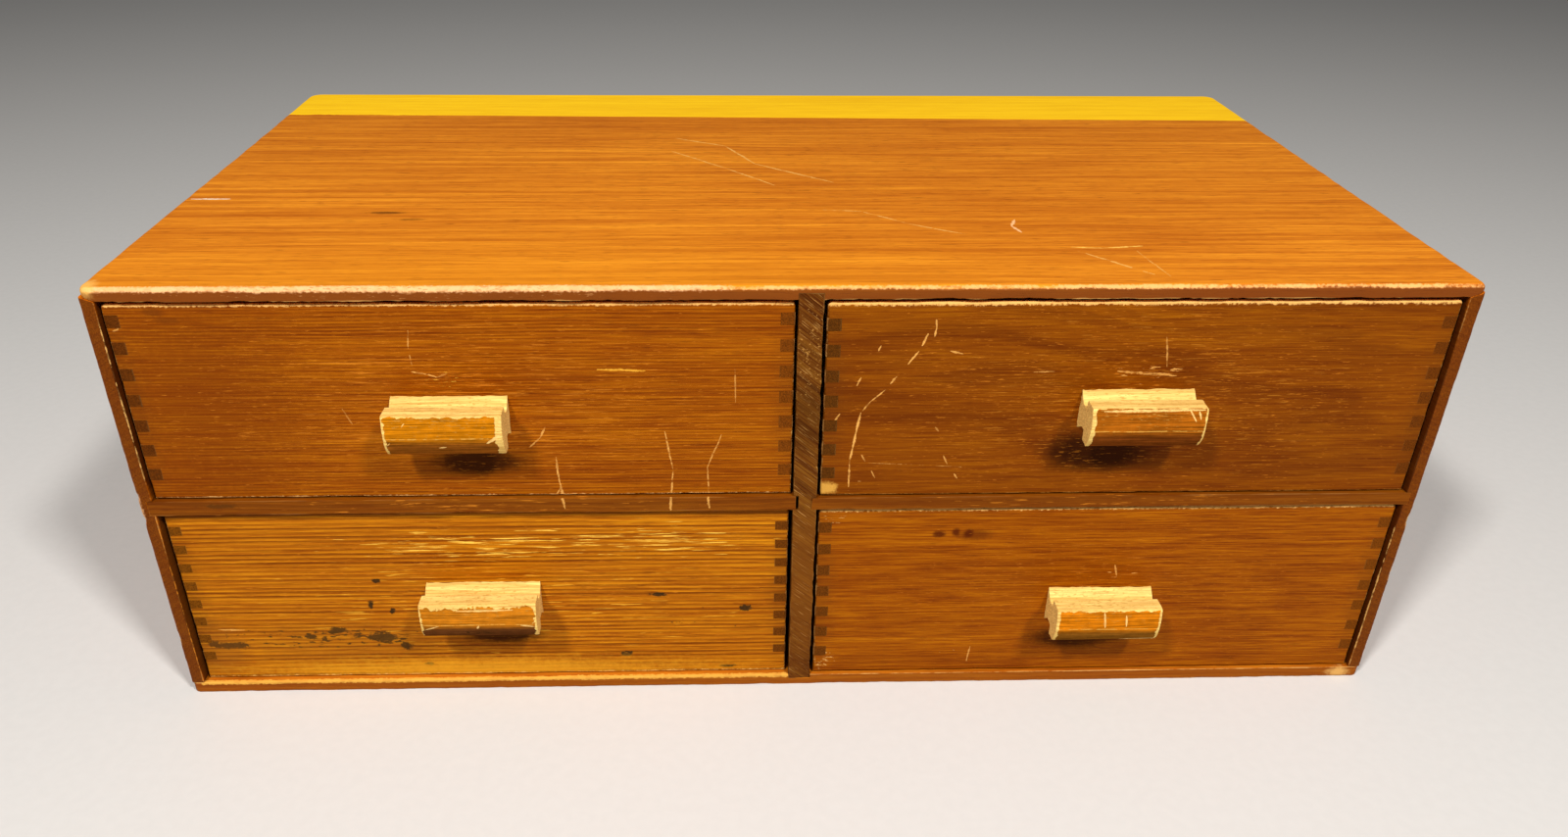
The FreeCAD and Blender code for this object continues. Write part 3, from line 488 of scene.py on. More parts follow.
uprightBoard = {"grain": "y", "wearAmount": 0.3, "endColour": (0.105, 0.024, 0.002)}
boards = {
    "case_top_board": {
        "seed": 3, "heart": (0, 260, 60), "ringWidth": 2.6, "sway": 14, "ringStrength": 0.4, "fleck": 0.7,
        "streak": 0.9, "early": (0.67, 0.203, 0.01), "late": (0.45, 0.1, 0.005),
        "fleckColour": (0.22, 0.04, 0.002), "frontShade": 0.92, "roughness": 0.38, "specular": 0.08,
        # painted light: the top made lighter towards its front
        "paintedLight": [patch((-70, -125, 140), (240, 85, 60), (0.86, 0.33, 0.01), 0.35, 0.05, 1.0)]},
    "case_top_back_strip": {
        "seed": 5, "heart": (0, -240, 100), "ringWidth": 1.5, "sway": 3, "ringStrength": 0.5, "fleck": 0.1,
        "early": (1.0, 0.6, 0.012), "late": (0.95, 0.48, 0.008), "fleckColour": (0.5, 0.2, 0.01), "fibre": 0.5,
        "cloud": 0.15, "streak": 0.2},
    "case_bottom_board": {"seed": 7, "ringWidth": 2.0, "early": (0.5, 0.14, 0.006), "frontShade": 0.6},
    "case_left_side": {"seed": 9, **uprightBoard}, "case_right_side": {"seed": 11, **uprightBoard},
    "case_centre_divider": {
        "seed": 13, "grain": "z", "lean": 50.0, "wearAmount": 0.12, "endDark": 0.0, "fibre": 3.0, "streak": 0.7,
        "fleck": 1.2, "cloud": 1.0, "relief": 1.0, "early": (0.13, 0.037, 0.003), "late": (0.07, 0.018, 0.0015),
        "fleckColour": (0.4, 0.19, 0.045)},
    "case_left_shelf": {"seed": 15, "wearAmount": 0.1, "ringWidth": 1.4, "early": (0.22, 0.058, 0.002),
        "late": (0.12, 0.026, 0.001)},
    "case_right_shelf": {"seed": 17, "wearAmount": 0.1, "ringWidth": 1.8, "early": (0.205, 0.053, 0.002),
        "late": (0.11, 0.024, 0.001)},
    "case_back_panel": {"seed": 19, "early": (0.5, 0.26, 0.07), "late": (0.38, 0.17, 0.04), "roughness": 0.6},
    "upper_left_drawer_front": {
        "seed": 21, "heart": (0, 60, -500), "ringWidth": 1.0, "sway": 3, "uneven": 0.9, "ringStrength": 0.75,
        "early": (0.335, 0.084, 0.0009), "late": (0.145, 0.025, 0.0003), "fibre": 2.0, "streak": 0.35,
        "cloud": 0.7},
    "upper_right_drawer_front": {
        "seed": 23, "heart": (0, 25, 96), "ringWidth": 2.4, "sway": 18, "ringStrength": 0.6,
        "early": (0.225, 0.054, 0.0006), "late": (0.118, 0.021, 0.0003), "fibre": 1.9, "streak": 0.5,
        "cloud": 0.6},
    "lower_left_drawer_front": {
        "seed": 25, "heart": (0, 60, -500), "ringWidth": 1.5, "sway": 2.2, "uneven": 0.35, "ringStrength": 0.85,
        "early": (0.505, 0.158, 0.003), "late": (0.13, 0.023, 0.0006), "fibre": 2.1, "streak": 0.4},
    "lower_right_drawer_front": {
        "seed": 27, "heart": (0, 40, 20), "ringWidth": 2.2, "sway": 12, "ringStrength": 0.45,
        "early": (0.31, 0.076, 0.0006), "late": (0.18, 0.032, 0.0003), "fibre": 2.5, "streak": 0.4},
}
# The fingers of each drawer's left and right side show as end grain in its front.
fingerEnds = {
    "upper_left": ((0.095, 0.022, 0.0008), (0.15, 0.036, 0.001)),
    "upper_right": ((0.085, 0.024, 0.001), (0.12, 0.028, 0.001)),
    "lower_left": ((0.155, 0.046, 0.001), (0.125, 0.032, 0.001)),
    "lower_right": ((0.12, 0.031, 0.001), (0.155, 0.039, 0.001)),
}
# The same for the drawers and the pulls. A piece's name, by its length, changes the seed.
drawerFront = {"innerShade": 0.85}
insideBoard = {
    "seed": 60, "early": (0.46, 0.21, 0.055), "late": (0.3, 0.12, 0.025), "roughness": 0.55, "endDark": 0.98,
    "wearAmount": 0.05, "specular": 0.03}
thinPanel = {
    "seed": 50, "early": (0.54, 0.31, 0.12), "late": (0.42, 0.22, 0.08), "roughness": 0.6, "grain": "y",
    "ringWidth": 4.0, "sway": 30}
pullWood = {
    "seed": 40, "early": (0.86, 0.58, 0.17), "late": (0.64, 0.35, 0.07), "endDark": 0.5,
    "endColour": (0.74, 0.42, 0.12), "ringWidth": 1.2, "ringStrength": 0.6, "fleck": 0.5,
    "fleckColour": (0.5, 0.24, 0.05), "fibre": 1.3, "streak": 0.4, "cloud": 0.2, "wearAmount": 0.0,
    "roughness": 0.55, "specular": 0.0}


def onTop(*points):
    return [(x, y, 140.0) for x, y in points]


# Points on the front of a drawer, given as x and z
def onFront(place, *points):
    front = boxOf(f"{place}_drawer_front")[0][1]
    return [(x, front, z) for x, z in points]


crisp = {"breakup": 0.02, "softness": 0.25}
marks = {}
marks["case_top_board"] = [
    patch((-122.8, -44.3, 140), (8, 1.6, 3), darkStain, 0.75),
    patch((-114, -50.5, 140), (6, 1.1, 3), darkStain, 0.6),
    specks((0, 0, 140), (240, 130, 20), darkStain, 0.45, 0, (0.1, 1.1, 1.1)),
    # the pale band along the top's front arris and the thin pale line on its right part: part wear, part painted
    # highlight
    line([(-189, -103.3, 140), (-18, -103.3, 140)], 1.35, paleWearAndSheen, 0.95, ragged=0.45, gaps=0.2, wander=1,
        taper=0.15),
    specks((-103, -103.5, 140), (130, 5, 5), (0.45, 0.18, 0.05), 0.75, 0.03, (0.5, 2.2, 2.2)),
    arris((-25, -103.5, 140), (189, -103.5, 140), 1, (0.95, 0.47, 0.15), 0.95, 0.05, ragged=0.5),
    *[arris((x, -103, 140), (x, back, 140), 0.5, bareWood, 0.7, 0.9) for x, back in ((-190, 64), (190, 62))],
    patch((-188.5, -101.5, 140), (4.5, 5, 4), (0.9, 0.5, 0.12), 0.7),
    line(onTop((-36.4, 37.9), (-18.2, 27.7), (-8, 6.2), (17.7, -14.5)), 0.5, freshScratch, 0.95, 0.5),
    line(onTop((-37.6, 21.5), (-19, 2), (-2.1, -17.6)), 0.45, freshScratch, 0.9, 0.6),
    line(onTop((12.2, -42), (24, -43.5), (37.5, -55), (53.1, -64.1)), 0.42, freshScratch, 0.85, 0.8),
    line(onTop((70.7, -51.3), (68.6, -57), (70.3, -62.5)), 0.55, paleWearAndSheen, 0.95, 0),
    line(onTop((82.2, -74.8), (92, -75.6), (103.2, -74.1)), 0.5, (0.95, 0.55, 0.1), 0.9, 0.5),
    line(onTop((83.3, -77.9), (99.8, -95.8)), 0.5, freshScratch, 0.9, 0.95, ragged=0.8),
    line(onTop((100.5, -78), (104, -97.3)), 0.32, freshScratch, 0.7),
    line(onTop((-187.5, -31.2), (-175.3, -31.2)), 0.55, (0.9, 0.75, 0.55), 0.95, 0, ragged=0.8),
    specks((-35, -83, 140), (22, 6, 5), bareWood, 0.8, -0.06, (0.9, 0.9, 0.9)),
    specks((40, -50, 140), (70, 45, 5), bareWood, 0.7, -0.13, (1.1, 1.1, 1.1)),
]
marks["case_top_back_strip"] = [
    arris((-189, 103.5, 140), (189, 103.5, 140), 0.6, (0.9, 0.6, 0.2), 0.6, 0.8, ragged=0.8),
    arris((-190, 66, 140), (-190, 103, 140), 0.8, (0.9, 0.6, 0.2), 0.6, 0.4, ragged=0.8),
]
marks["case_bottom_board"] = [
    arris((-186, -103.3, 4), (0, -103.3, 4), 1, (0.86, 0.45, 0.07), 0.85, 0.2, ragged=0.6),
    arris((8, -103.5, 4), (186, -103.5, 4), 0.3, bareWood, 0.3, 0.8, ragged=0.8),
    arris((-190, -103.5, 0), (190, -103.5, 0), 0.4, bareWood, 0.4, 0.9),
    patch((183, -103.5, 2), (5, 3, 2.5), bareWood, 0.8),
]
marks["case_back_panel"] = [
    *[patch((x, 103.5, z), (3.4, 3, 3.8), (0.12, 0.045, 0.01), 0.8, 0.3) for x, z in (
        (-159.6, 70.2), (-26.2, 70.2), (34.4, 69.8), (159.6, 69.8), (4.5, 30.1), (4.5, 109.6))],
    patch((0, 103.5, 2), (230, 4, 22), darkStain, 0.4, 0.25),
    *[patch((x, 103.5, 70), (14, 4, 80), darkStain, 0.3, 0.25) for x in (-184, 184)],
    patch((96, 103.5, 46), (34, 4, 20), darkStain, 0.25, 0.35),
    specks((0, 103.5, 70), (230, 4, 90), darkStain, 0.5, -0.06, (0.12, 1.3, 1.3)),
    specks((-40, 103.5, 60), (150, 4, 60), rubbedWood, 0.6, -0.1, (0.35, 1.2, 1.2)),
    line([(-120, 103.5, 96), (-92, 103.5, 84), (-84, 103.5, 70)], 0.35),
    line([(60, 103.5, 110), (82, 103.5, 104)], 0.3, amount=0.6),
    line([(118, 103.5, 24), (131, 103.5, 52)], 0.3, amount=0.7),
]
marks["case_left_side"] = [
    # painted shade in the gap between the drawers' fronts and the side
    patch((-185.9, -101.6, 106), (0.8, 3.2, 40), (0.05, 0.009, 0.0005), 0.92, **crisp),
    patch((-185.9, -101, 34), (0.8, 3.6, 44), (0.09, 0.024, 0.002), 0.92, **crisp),
    arris((-186, -103.5, 74), (-186, -103.5, 137), 0.28, bareWood, 0.8, 0.7),
    arris((-186, -103.5, 5), (-186, -103.5, 72), 0.22, rubbedWood, 0.6, 0.9),
    patch((-190, -103.5, 70), (1.2, 2.5, 7), paleWearAndSheen, 0.8, 0.3),
    patch((-190, -103.5, 22), (1, 2, 3), bareWood, 0.8, 0.3),
    specks((-190, -20, 60), (5, 80, 60), bareWood, 0.7, -0.1, (1.1, 0.5, 1.1)),
    line([(-190, -60, 96), (-190, -22, 84)], 0.3), line([(-190, 30, 40), (-190, 41, 62)], 0.3, amount=0.6),
    arris((-190, -103, 140), (-190, 103, 140), 0.5, bareWood, 0.6, 0.9),
]
marks["case_right_side"] = [
    # painted shade in the gap between the drawers' fronts and the side
    patch((185.9, -101.6, 70), (0.8, 3.2, 90), (0.05, 0.009, 0.0005), 0.92, **crisp),
    arris((186, -103.5, 5), (186, -103.5, 60), 0.28, bareWood, 0.7, 0.7),
    patch((190, -103.5, 62), (1.2, 2.5, 4), bareWood, 0.8, 0.3),
    patch((190, -103.5, 42), (1, 2, 4), paleWearAndSheen, 0.8, 0.3),
    specks((190, 10, 70), (5, 80, 60), bareWood, 0.7, -0.1, (1.1, 0.5, 1.1)),
    line([(190, -10, 100), (190, 22, 112)], 0.3),
    line([(190, -50, 30), (190, -38, 52), (190, -30, 60)], 0.3, amount=0.6),
]
marks["case_centre_divider"] = [
    specks((4.5, -103.5, 118), (8, 8, 30), (0.55, 0.27, 0.06), 0.6, 0.02, (1.2, 1.2, 1.2)),
    patch((4.5, -103.5, 38), (9, 4, 44), (0.26, 0.085, 0.008), 0.35),
    patch((4.5, -103.5, 100), (9, 4, 16), (0.05, 0.014, 0.001), 0.4),
]
marks["case_left_shelf"] = [
    *[line([(start, -103.5, 73.4), (end, -103.5, low)], 0.4, gaps=0.3, taper=0.3) for start, end, low in (
        (-67.1, -66.5, 69.4), (-35.1, -35.3, 68.5), (-24.2, -23.9, 69.2))],
    patch((-167, -103.5, 71.2), (7, 3, 1), darkStain, 0.85, 0.25),
    specks((-93, -103.5, 71), (110, 4, 6), rubbedWood, 0.6, 0, (0.12, 2.2, 2.2)),
]
marks["case_right_shelf"] = [
    specks((97, -103.5, 71), (110, 4, 6), rubbedWood, 0.6, 0, (0.12, 2.2, 2.2)),
]
marks["upper_left_drawer_front"] = [
    patch((-165, -102.3, 104), (46, 4, 60), (0.16, 0.028, 0.0005), 0.6, softness=0.9),
    patch((-172.2, -102.3, 132.6), (4, 3, 1.8), (0.14, 0.032, 0.002), 0.6),
    patch((-168.5, -102.3, 130.2), (5, 3, 1.4), (0.14, 0.032, 0.002), 0.5),
    patch((-107, -102.3, 70), (60, 3, 4), darkStain, 0.35),
    specks((-97, -102.3, 112), (12, 2.4, 3.5), (0.9, 0.5, 0.05), 0.85, 0.03),
    specks((-90, -102.3, 104), (110, 2.4, 45), rubbedWood, 0.45, 0.02, (0.06, 2.4, 2.4)),
    line(onFront("upper_left", (-54.6, 114.8), (-41.3, 114.4)), 0.4, goldenWear, 0.8, 0.3),
]
marks["upper_right_drawer_front"] = [
    specks((101, -102.6, 113), (16, 2.4, 4.5), freshScratch, 0.85, 0.04),
    specks((100, -102.6, 104), (110, 2.4, 45), (0.62, 0.24, 0.02), 0.4, 0.01, (0.11, 2.4, 2.4)),
    specks((130, -102.6, 96), (50, 2.4, 25), bareWood, 0.7, -0.12, (1, 1, 1)),
    patch((9.5, -102.6, 75.2), (5.5, 3, 2.6), (0.8, 0.42, 0.07), 0.8, 0.2, 0.5),
    specks((20, -102.6, 76), (16, 2.4, 5), freshScratch, 0.7, -0.02),
]
marks["lower_left_drawer_front"] = [
    specks((-92, -101.5, 55), (62, 2.4, 9), (1, 0.6, 0.08), 0.95, 0.06, (0.075, 1.9, 1.9)),
    specks((-40, -101.5, 56), (45, 2.4, 10), (1, 0.6, 0.08), 0.85, 0.05, (0.075, 1.9, 1.9)),
    specks((-90, -101.5, 32), (120, 2.4, 36), (0.92, 0.46, 0.035), 0.6, 0.02, (0.07, 1.4, 1.4)),
    specks((-140, -101.5, 20), (36, 2.4, 6), darkDirt, 0.9, 0.09, (0.3, 0.75, 0.75)),
    specks((-172, -101.5, 21), (16, 2.4, 9), darkDirt, 0.6, 0.02, (0.35, 0.8, 0.8)),
    specks((-30, -101.5, 22), (30, 2.4, 14), darkDirt, 0.9, -0.02, (0.4, 0.6, 0.6)),
    *[patch((x, -101.5, z), (wide, 3, tall), darkDirt, 0.95, 0.35, 0.4)
        for x, z, wide, tall in (
        (-126.4, 42.1, 1.7, 1), (-129.4, 33.2, 1, 2), (-123, 30.6, 1.2, 1.4), (-141, 22.8, 3.4, 1.5),
        (-150, 20.6, 2.4, 1), (-120.5, 16.8, 2.8, 1.7), (-127, 20.4, 5, 2.4), (-180.6, 18.2, 2.5, 1.6),
        (-176, 17.5, 6, 1.5), (-114.2, 9, 2, 0.9), (-13.2, 30.2, 2.4, 1.5), (-40.6, 35.7, 3, 1),
        (-18.2, 6.4, 3, 0.8), (-51.3, 12.4, 2.6, 1.2))],
    patch((-140, -101.5, 18), (44, 3, 12), (0.22, 0.085, 0.008), 0.22),
    patch((-180, -101.5, 16), (12, 3, 18), (0.24, 0.08, 0.008), 0.35),
    patch((-95, -101.5, 5), (110, 3, 9), (0.8, 0.38, 0.02), 0.6, softness=0.9),
]
marks["lower_right_drawer_front"] = [
    *[patch((x, -102.5, z), (wide, 3, tall), (0.085, 0.012, 0.0008), amount, 0.1)
        for x, z, wide, tall, amount in (
        (45.9, 58.2, 2.8, 1.8, 0.9), (50.9, 58.8, 1.8, 2, 0.9), (54.8, 58.3, 2.2, 2.2, 0.9),
        (56.5, 57.8, 7.5, 3, 0.6))],
    specks((12, -102.5, 9), (6, 2.4, 6), bareWood, 0.8, 0.06, (0.5, 1.2, 1.2)),
    specks((13, -102.5, 64), (8, 2.4, 3), bareWood, 0.7, 0.04, (0.35, 1.6, 1.6)),
    specks((103, -102.5, 43), (12, 2.4, 4), freshScratch, 0.8, 0),
    specks((100, -102.5, 35), (90, 2.4, 34), rubbedWood, 0.35, 0, (0.05, 1.2, 1.2)),
    specks((60, -102.5, 12), (60, 2.4, 8), bareWood, 0.6, -0.1, (0.6, 0.9, 0.9)),
]

# Scratches on the drawers' fronts: width, strength, share of gaps, and the points it runs through
scratches = {
    "upper_left": [
        (0.36, 0.85, 0.4, (-68.1, 86.6), (-67.6, 78), (-66.5, 69.6)), (0.3, 0.7, 0.4, (-69.5, 72), (-67.5, 76)),
        (0.27, 0.8, 0.85, (-36.5, 94.8), (-34.4, 82), (-35.3, 67.5)),
        (0.24, 0.7, 0.9, (-20.2, 93.7), (-24.3, 82.5), (-23.9, 69.1)),
        (0.3, 0.75, 0.5, (-70.4, 96.4), (-72, 93), (-75.5, 89.6)), (0.22, 0.6, 0.8, (-105, 127), (-105.7, 121.1)),
        (0.22, 0.6, 0.9, (-105.5, 119.9), (-105.2, 116.3)),
        (0.3, 0.85, 0.6, (-105.7, 114.4), (-101.5, 113.6), (-98.9, 112.7), (-96.1, 113.8)),
        (0.25, 0.35, 0.6, (-126.6, 102.9), (-124.4, 97.8)), (0.25, 0.5, 0.7, (-16.4, 115.5), (-16.1, 104)),
        (0.28, 0.8, 0.3, (-183, 130.9), (-183.4, 129.2), (-182, 127.7), (-183.9, 127))],
    "upper_right": [
        (0.3, 0.9, 0.2, (39, 129.7), (39.3, 127.3), (38.9, 124.6)), (0.4, 0.95, 0.2, (37, 125.3), (35.7, 121.8)),
        (0.3, 0.9, 0.5, (34.9, 120.2), (32.2, 116.1)), (0.3, 0.85, 0.4, (29.4, 112.3), (27.2, 109.4)),
        (0.22, 0.8, 0.7, (26.4, 108.2), (22.2, 104.2), (20.1, 101.3)),
        (0.38, 0.95, 0.2, (19.6, 100.7), (18.5, 93.9), (17.9, 89)),
        (0.3, 0.9, 0.5, (17.9, 89), (17.2, 84.7), (17.2, 75.5)),
        (0.3, 0.8, 0.2, (24.2, 121.9), (23.6, 120.4)), (0.28, 0.85, 0.3, (19.3, 112), (18.1, 109.4)),
        (0.26, 0.85, 0.3, (13.7, 100.4), (11.9, 97.2)), (0.22, 0.7, 0.3, (20.6, 86.6), (22, 84.1)),
        (0.22, 0.7, 0.3, (23.9, 81.2), (25.1, 78.7)), (0.26, 0.75, 0.3, (44.6, 86.1), (46, 83)),
        (0.26, 0.75, 0.3, (48.2, 80), (49.6, 78)), (0.35, 0.4, 0.3, (41.5, 95.7), (42.6, 94.4)),
        (0.28, 0.8, 0.3, (43.7, 120.1), (47.4, 119.1)), (0.22, 0.6, 0.5, (67.6, 113.4), (73.8, 113.5)),
        (0.16, 0.45, 0.6, (21.6, 83.9), (41.9, 82.7), (53.5, 81.9)), (0.28, 0.6, 0.5, (104, 124), (105.6, 114.9)),
        (0.45, 0.7, 0.7, (92, 113.5), (108, 112.3))],
    "lower_left": [(0.3, 0.8, 0.3, (-178, 24), (-170, 23.6))],
    "lower_right": [(0.3, 0.7, 0.3, (101.8, 46), (103.1, 41.5)), (0.3, 0.6, 0.3, (59.6, 14), (58.9, 8))],
}
# Painted shadow under each pull on its drawer's front: its middle from the pull's, half its width and height, and
# its strength
pullShadow = {
    "upper_left": (6, -8.5, 17, 6, 0.9), "upper_right": (-9, -7.5, 21, 9, 0.9),
    "lower_left": (4, -7.5, 17, 5, 0.9), "lower_right": (-6, -7, 19, 6, 0.85),
}
# Worn top arris of each drawer front: how wide the pale line is and how much of it is broken
frontArris = {
    "upper_left": {"width": 0.75, "gaps": 0.1, "amount": 0.9, "under": 0.6, "underColour": (0.9, 0.5, 0.16)},
    "upper_right": {"width": 1, "gaps": 0.1, "amount": 0.95, "under": 0.45, "underColour": (0.72, 0.33, 0.06)},
    "lower_left": {"width": 0.4, "gaps": 0.7, "amount": 0.7, "under": 0.75, "underColour": (0.92, 0.58, 0.14)},
    "lower_right": {"width": 0.85, "gaps": 0.2, "amount": 0.95, "under": 0.35,
        "underColour": (0.1, 0.024, 0.001)},
}


def arrisMarks(place):
    (left, front, bottom), (right, _, top) = boxOf(f"{place}_drawer_front")
    habit = frontArris[place]
    middle, tall = (bottom + top) / 2, (top - bottom) * 0.7
    centre = ((left + right) / 2, front, middle)
    (pullLeft, _, pullLow), (pullRight, _, _) = boxOf(f"{place}_pull")
    aside, above, wide, high, strength = pullShadow[place]
    under = ((pullLeft + pullRight) / 2 + aside, front, pullLow + above)
    lines = [line(onFront(place, *points), width, freshScratch, amount, gaps=gaps)
        for width, amount, gaps, *points in scratches[place]]
    return [
        mark("scratches", {}, freshScratch, 1, 0, lines=lines),
        # painted shadow of the pull, dark below it on the front
        patch(under, (wide, 4, high), (0.03, 0.006, 0.0005), strength, 0.06, 0.6),
        specks(centre, (right - left, 2.4, tall * 1.5), rubbedWood, 0.4, 0, (0.3, 3.2, 3.2), depth=0.1),
        *[patch((side, front, middle), (9, 3, tall), darkStain, 0.3, 0.12, 0.9) for side in (left, right)],
        arris((left, front, top), (right, front, top), habit["width"], bareWood, habit["amount"], habit["gaps"],
            wander=0.5),
        arris((left, front, bottom), (right, front, bottom), habit["under"], habit["underColour"], 0.85, 0.3,
            wander=0.5),
        # painted shade on the front's top face just behind its arris, in the gap under the board above
        line([(left, front + 2.1, top), (right, front + 2.1, top)], 1, (0.035, 0.007, 0.0005), 0.9, ragged=0.1,
            gaps=0, wander=0.1, taper=0, depth=0),
        arris((left, front, bottom), (left, front, top), 0.25, bareWood, 0.6, 0.9, wander=0.5),
        arris((right, front, bottom), (right, front, top), 0.3, bareWood, 0.7, 0.7, wander=0.5),
    ]


# What is left of each pull's varnish. Margins run in from the head's ends, bottom and top, in millimetres.
# The lower colour, on the facet that faces down, is partly the varnish's own darker tone and partly painted
# shade.
pullSkins = {
    "upper_left": {"margins": (0.7, 1.9, 0, 0.7), "ragged": 0.9, "colour": (0.5, 0.165, 0.003),
        "lowerColour": (0.27, 0.082, 0.008)},
    "upper_right": {"margins": (1.2, 0.5, 0, 0.2), "ragged": 0.6, "colour": (0.36, 0.1, 0.005),
        "lowerColour": (0.19, 0.048, 0.006)},
    "lower_left": {"margins": (0.5, 0.9, 0, 1.3), "ragged": 1.8, "colour": (0.52, 0.17, 0.008),
        "lowerColour": (0.125, 0.041, 0.01)},
    "lower_right": {"margins": (1, 0.8, 0.2, 0.8), "ragged": 0.7, "colour": (0.58, 0.17, 0.004),
        "lowerColour": (0.25, 0.095, 0.01)},
}
# Nicks and scratches on each pull, as shares of the head's length and height. The first of the upper right
# pull's, along the top of its head, is a painted highlight.
pullNicksAndHighlight = {
    "upper_left": [((0.03, 0.3), (0.19, 0.83), 0.28), ((0.45, 0.22), (0.52, 0.24), 0.3),
        ((0.86, 0.35), (0.97, 0.55), 0.5)],
    # the first is a painted highlight along the top of the head
    "upper_right": [((0.1, 0.93), (0.97, 0.95), 0.45), ((0.84, 0.95), (0.9, 0.7), 0.3),
        ((0.92, 0.92), (0.94, 0.75), 0.3)],
    "lower_left": [((0.02, 0.3), (0.16, 0.45), 0.3), ((0.48, 0.33), (0.5, 0.44), 0.35),
        ((0.86, 0.45), (0.97, 0.4), 0.35), ((0.32, 0.84), (0.8, 0.86), 0.35)],
    "lower_right": [((0.45, 0.9), (0.47, 0.52), 0.35), ((0.66, 0.84), (0.67, 0.55), 0.35),
        ((0.66, 0.02), (0.99, 0.05), 0.4)],
}


# The front of a pull's head stands out furthest at its ridge, and curves back from there up to its top and
# down to its bottom. In millimetres, but for the share of the height where the ridge's pale line runs, part wear
# and part painted highlight.
pullForm = {"ridge": 6.2, "backAtTop": 1, "backAtBottom": 2.8, "head": 4.5, "crest": 6, "ridgeShare": 0.47}


def pullDress(place):
    low, high = boxOf(f"{place}_pull")
    skin = dict(pullSkins[place])
    leftIn, rightIn, bottomIn, topIn = skin["margins"]
    skin["low"] = (low[0] + leftIn, low[1] - 1, low[2] + bottomIn - 1)
    skin["high"] = (high[0] - rightIn, low[1] + pullForm["head"], high[2] - topIn)

    def onHead(along, up):
        height = up * (high[2] - low[2])
        above = height - pullForm["ridge"]
        rise, setback = pullForm["ridge"], pullForm["backAtBottom"]
        if above > 0:
            rise, setback = high[2] - low[2] - pullForm["ridge"], pullForm["backAtTop"]
        bulge = setback * (above / rise) ** 2
        return (low[0] + along * (high[0] - low[0]), low[1] + bulge, low[2] + height)

    # pale line along the ridge: part wear, part painted highlight
    ends = [onHead(0.03, pullForm["ridgeShare"]), onHead(0.97, pullForm["ridgeShare"])]
    found = [line(ends, 0.22, (0.85, 0.45, 0.08), 0.6, gaps=0.8, wander=0.6, taper=0.2)]
    for start, end, width in pullNicksAndHighlight[place]:
        found.append(line([onHead(*start), onHead(*end)], width, (0.92, 0.6, 0.2), 0.9, ragged=0.6, gaps=0.3,
            wander=0.4))
    dirt = 0.9 if place == "lower_left" else 0.2
    middle = (low[0] + high[0]) / 2
    step = low[1] + pullForm["crest"]
    crest = (low[0], step, high[2]), (high[0], step, high[2])
    # painted highlight along the back top arris of the head, at the step down to the neck
    found.append(arris(*crest, 0.3, (0.95, 0.72, 0.25), 0.7, 0.5, ragged=0.7, wander=0.3))
    # darker specks about the step: the wood's speckled tone, and painted shade in the step
    found.append(specks((middle, step, high[2]), (40, 14, 12), (0.5, 0.24, 0.04), 0.65, 0.06, (0.6, 2.6, 2.6)))
    found.append(specks((middle, low[1] + 1.5, low[2] + 2), (22, 5, 4), darkDirt, dirt, 0, (0.5, 0.9, 0.9)))
    return skin, found


def look(node):
    chosen = dict(plainBoard)
    place, _, piece = node.partition("_drawer_")
    if node.endswith("_pull"):
        chosen.update(pullWood)
    elif piece == "bottom":
        chosen.update(thinPanel)
    elif piece == "front":
        chosen.update(drawerFront)
    elif piece:
        chosen.update(insideBoard, grain="x" if piece == "back" else "y")
        if piece != "back":
            chosen["endColour"] = fingerEnds[place][piece == "right_side"]
    chosen["seed"] += len(node)
    chosen.update(boards.get(node, {}))
    found = list(marks.get(node, []))
    if piece == "front":
        found += arrisMarks(place)
    if node.endswith("_pull"):
        chosen["skin"], found = pullDress(node[:-len("_pull")])
    return chosen, found


steelLook = {
    "steel": (0.32, 0.3, 0.27), "rust": (0.16, 0.07, 0.03), "spotsPerMetre": 900, "metallic": 0.9,
    "smoothest": 0.35, "roughest": 0.7}


def nailSteel():
    material, tree, shader = newMaterial("dullNailSteel")
    place = addNode(tree, "TexCoord").outputs["Object"]
    spots = cloudy(tree, place, (steelLook["spotsPerMetre"],) * 3, detail=4)
    rust = ramp(tree, spots, 0.5, 0.7)
    colour = blend(tree, rust, steelLook["steel"], steelLook["rust"])
    gloss = ramp(tree, spots, 0.3, 0.7, steelLook["smoothest"], steelLook["roughest"])
    plugAll(tree, {"Base Color": colour, "Roughness": gloss, "Metallic": steelLook["metallic"]}, shader.inputs)
    return material


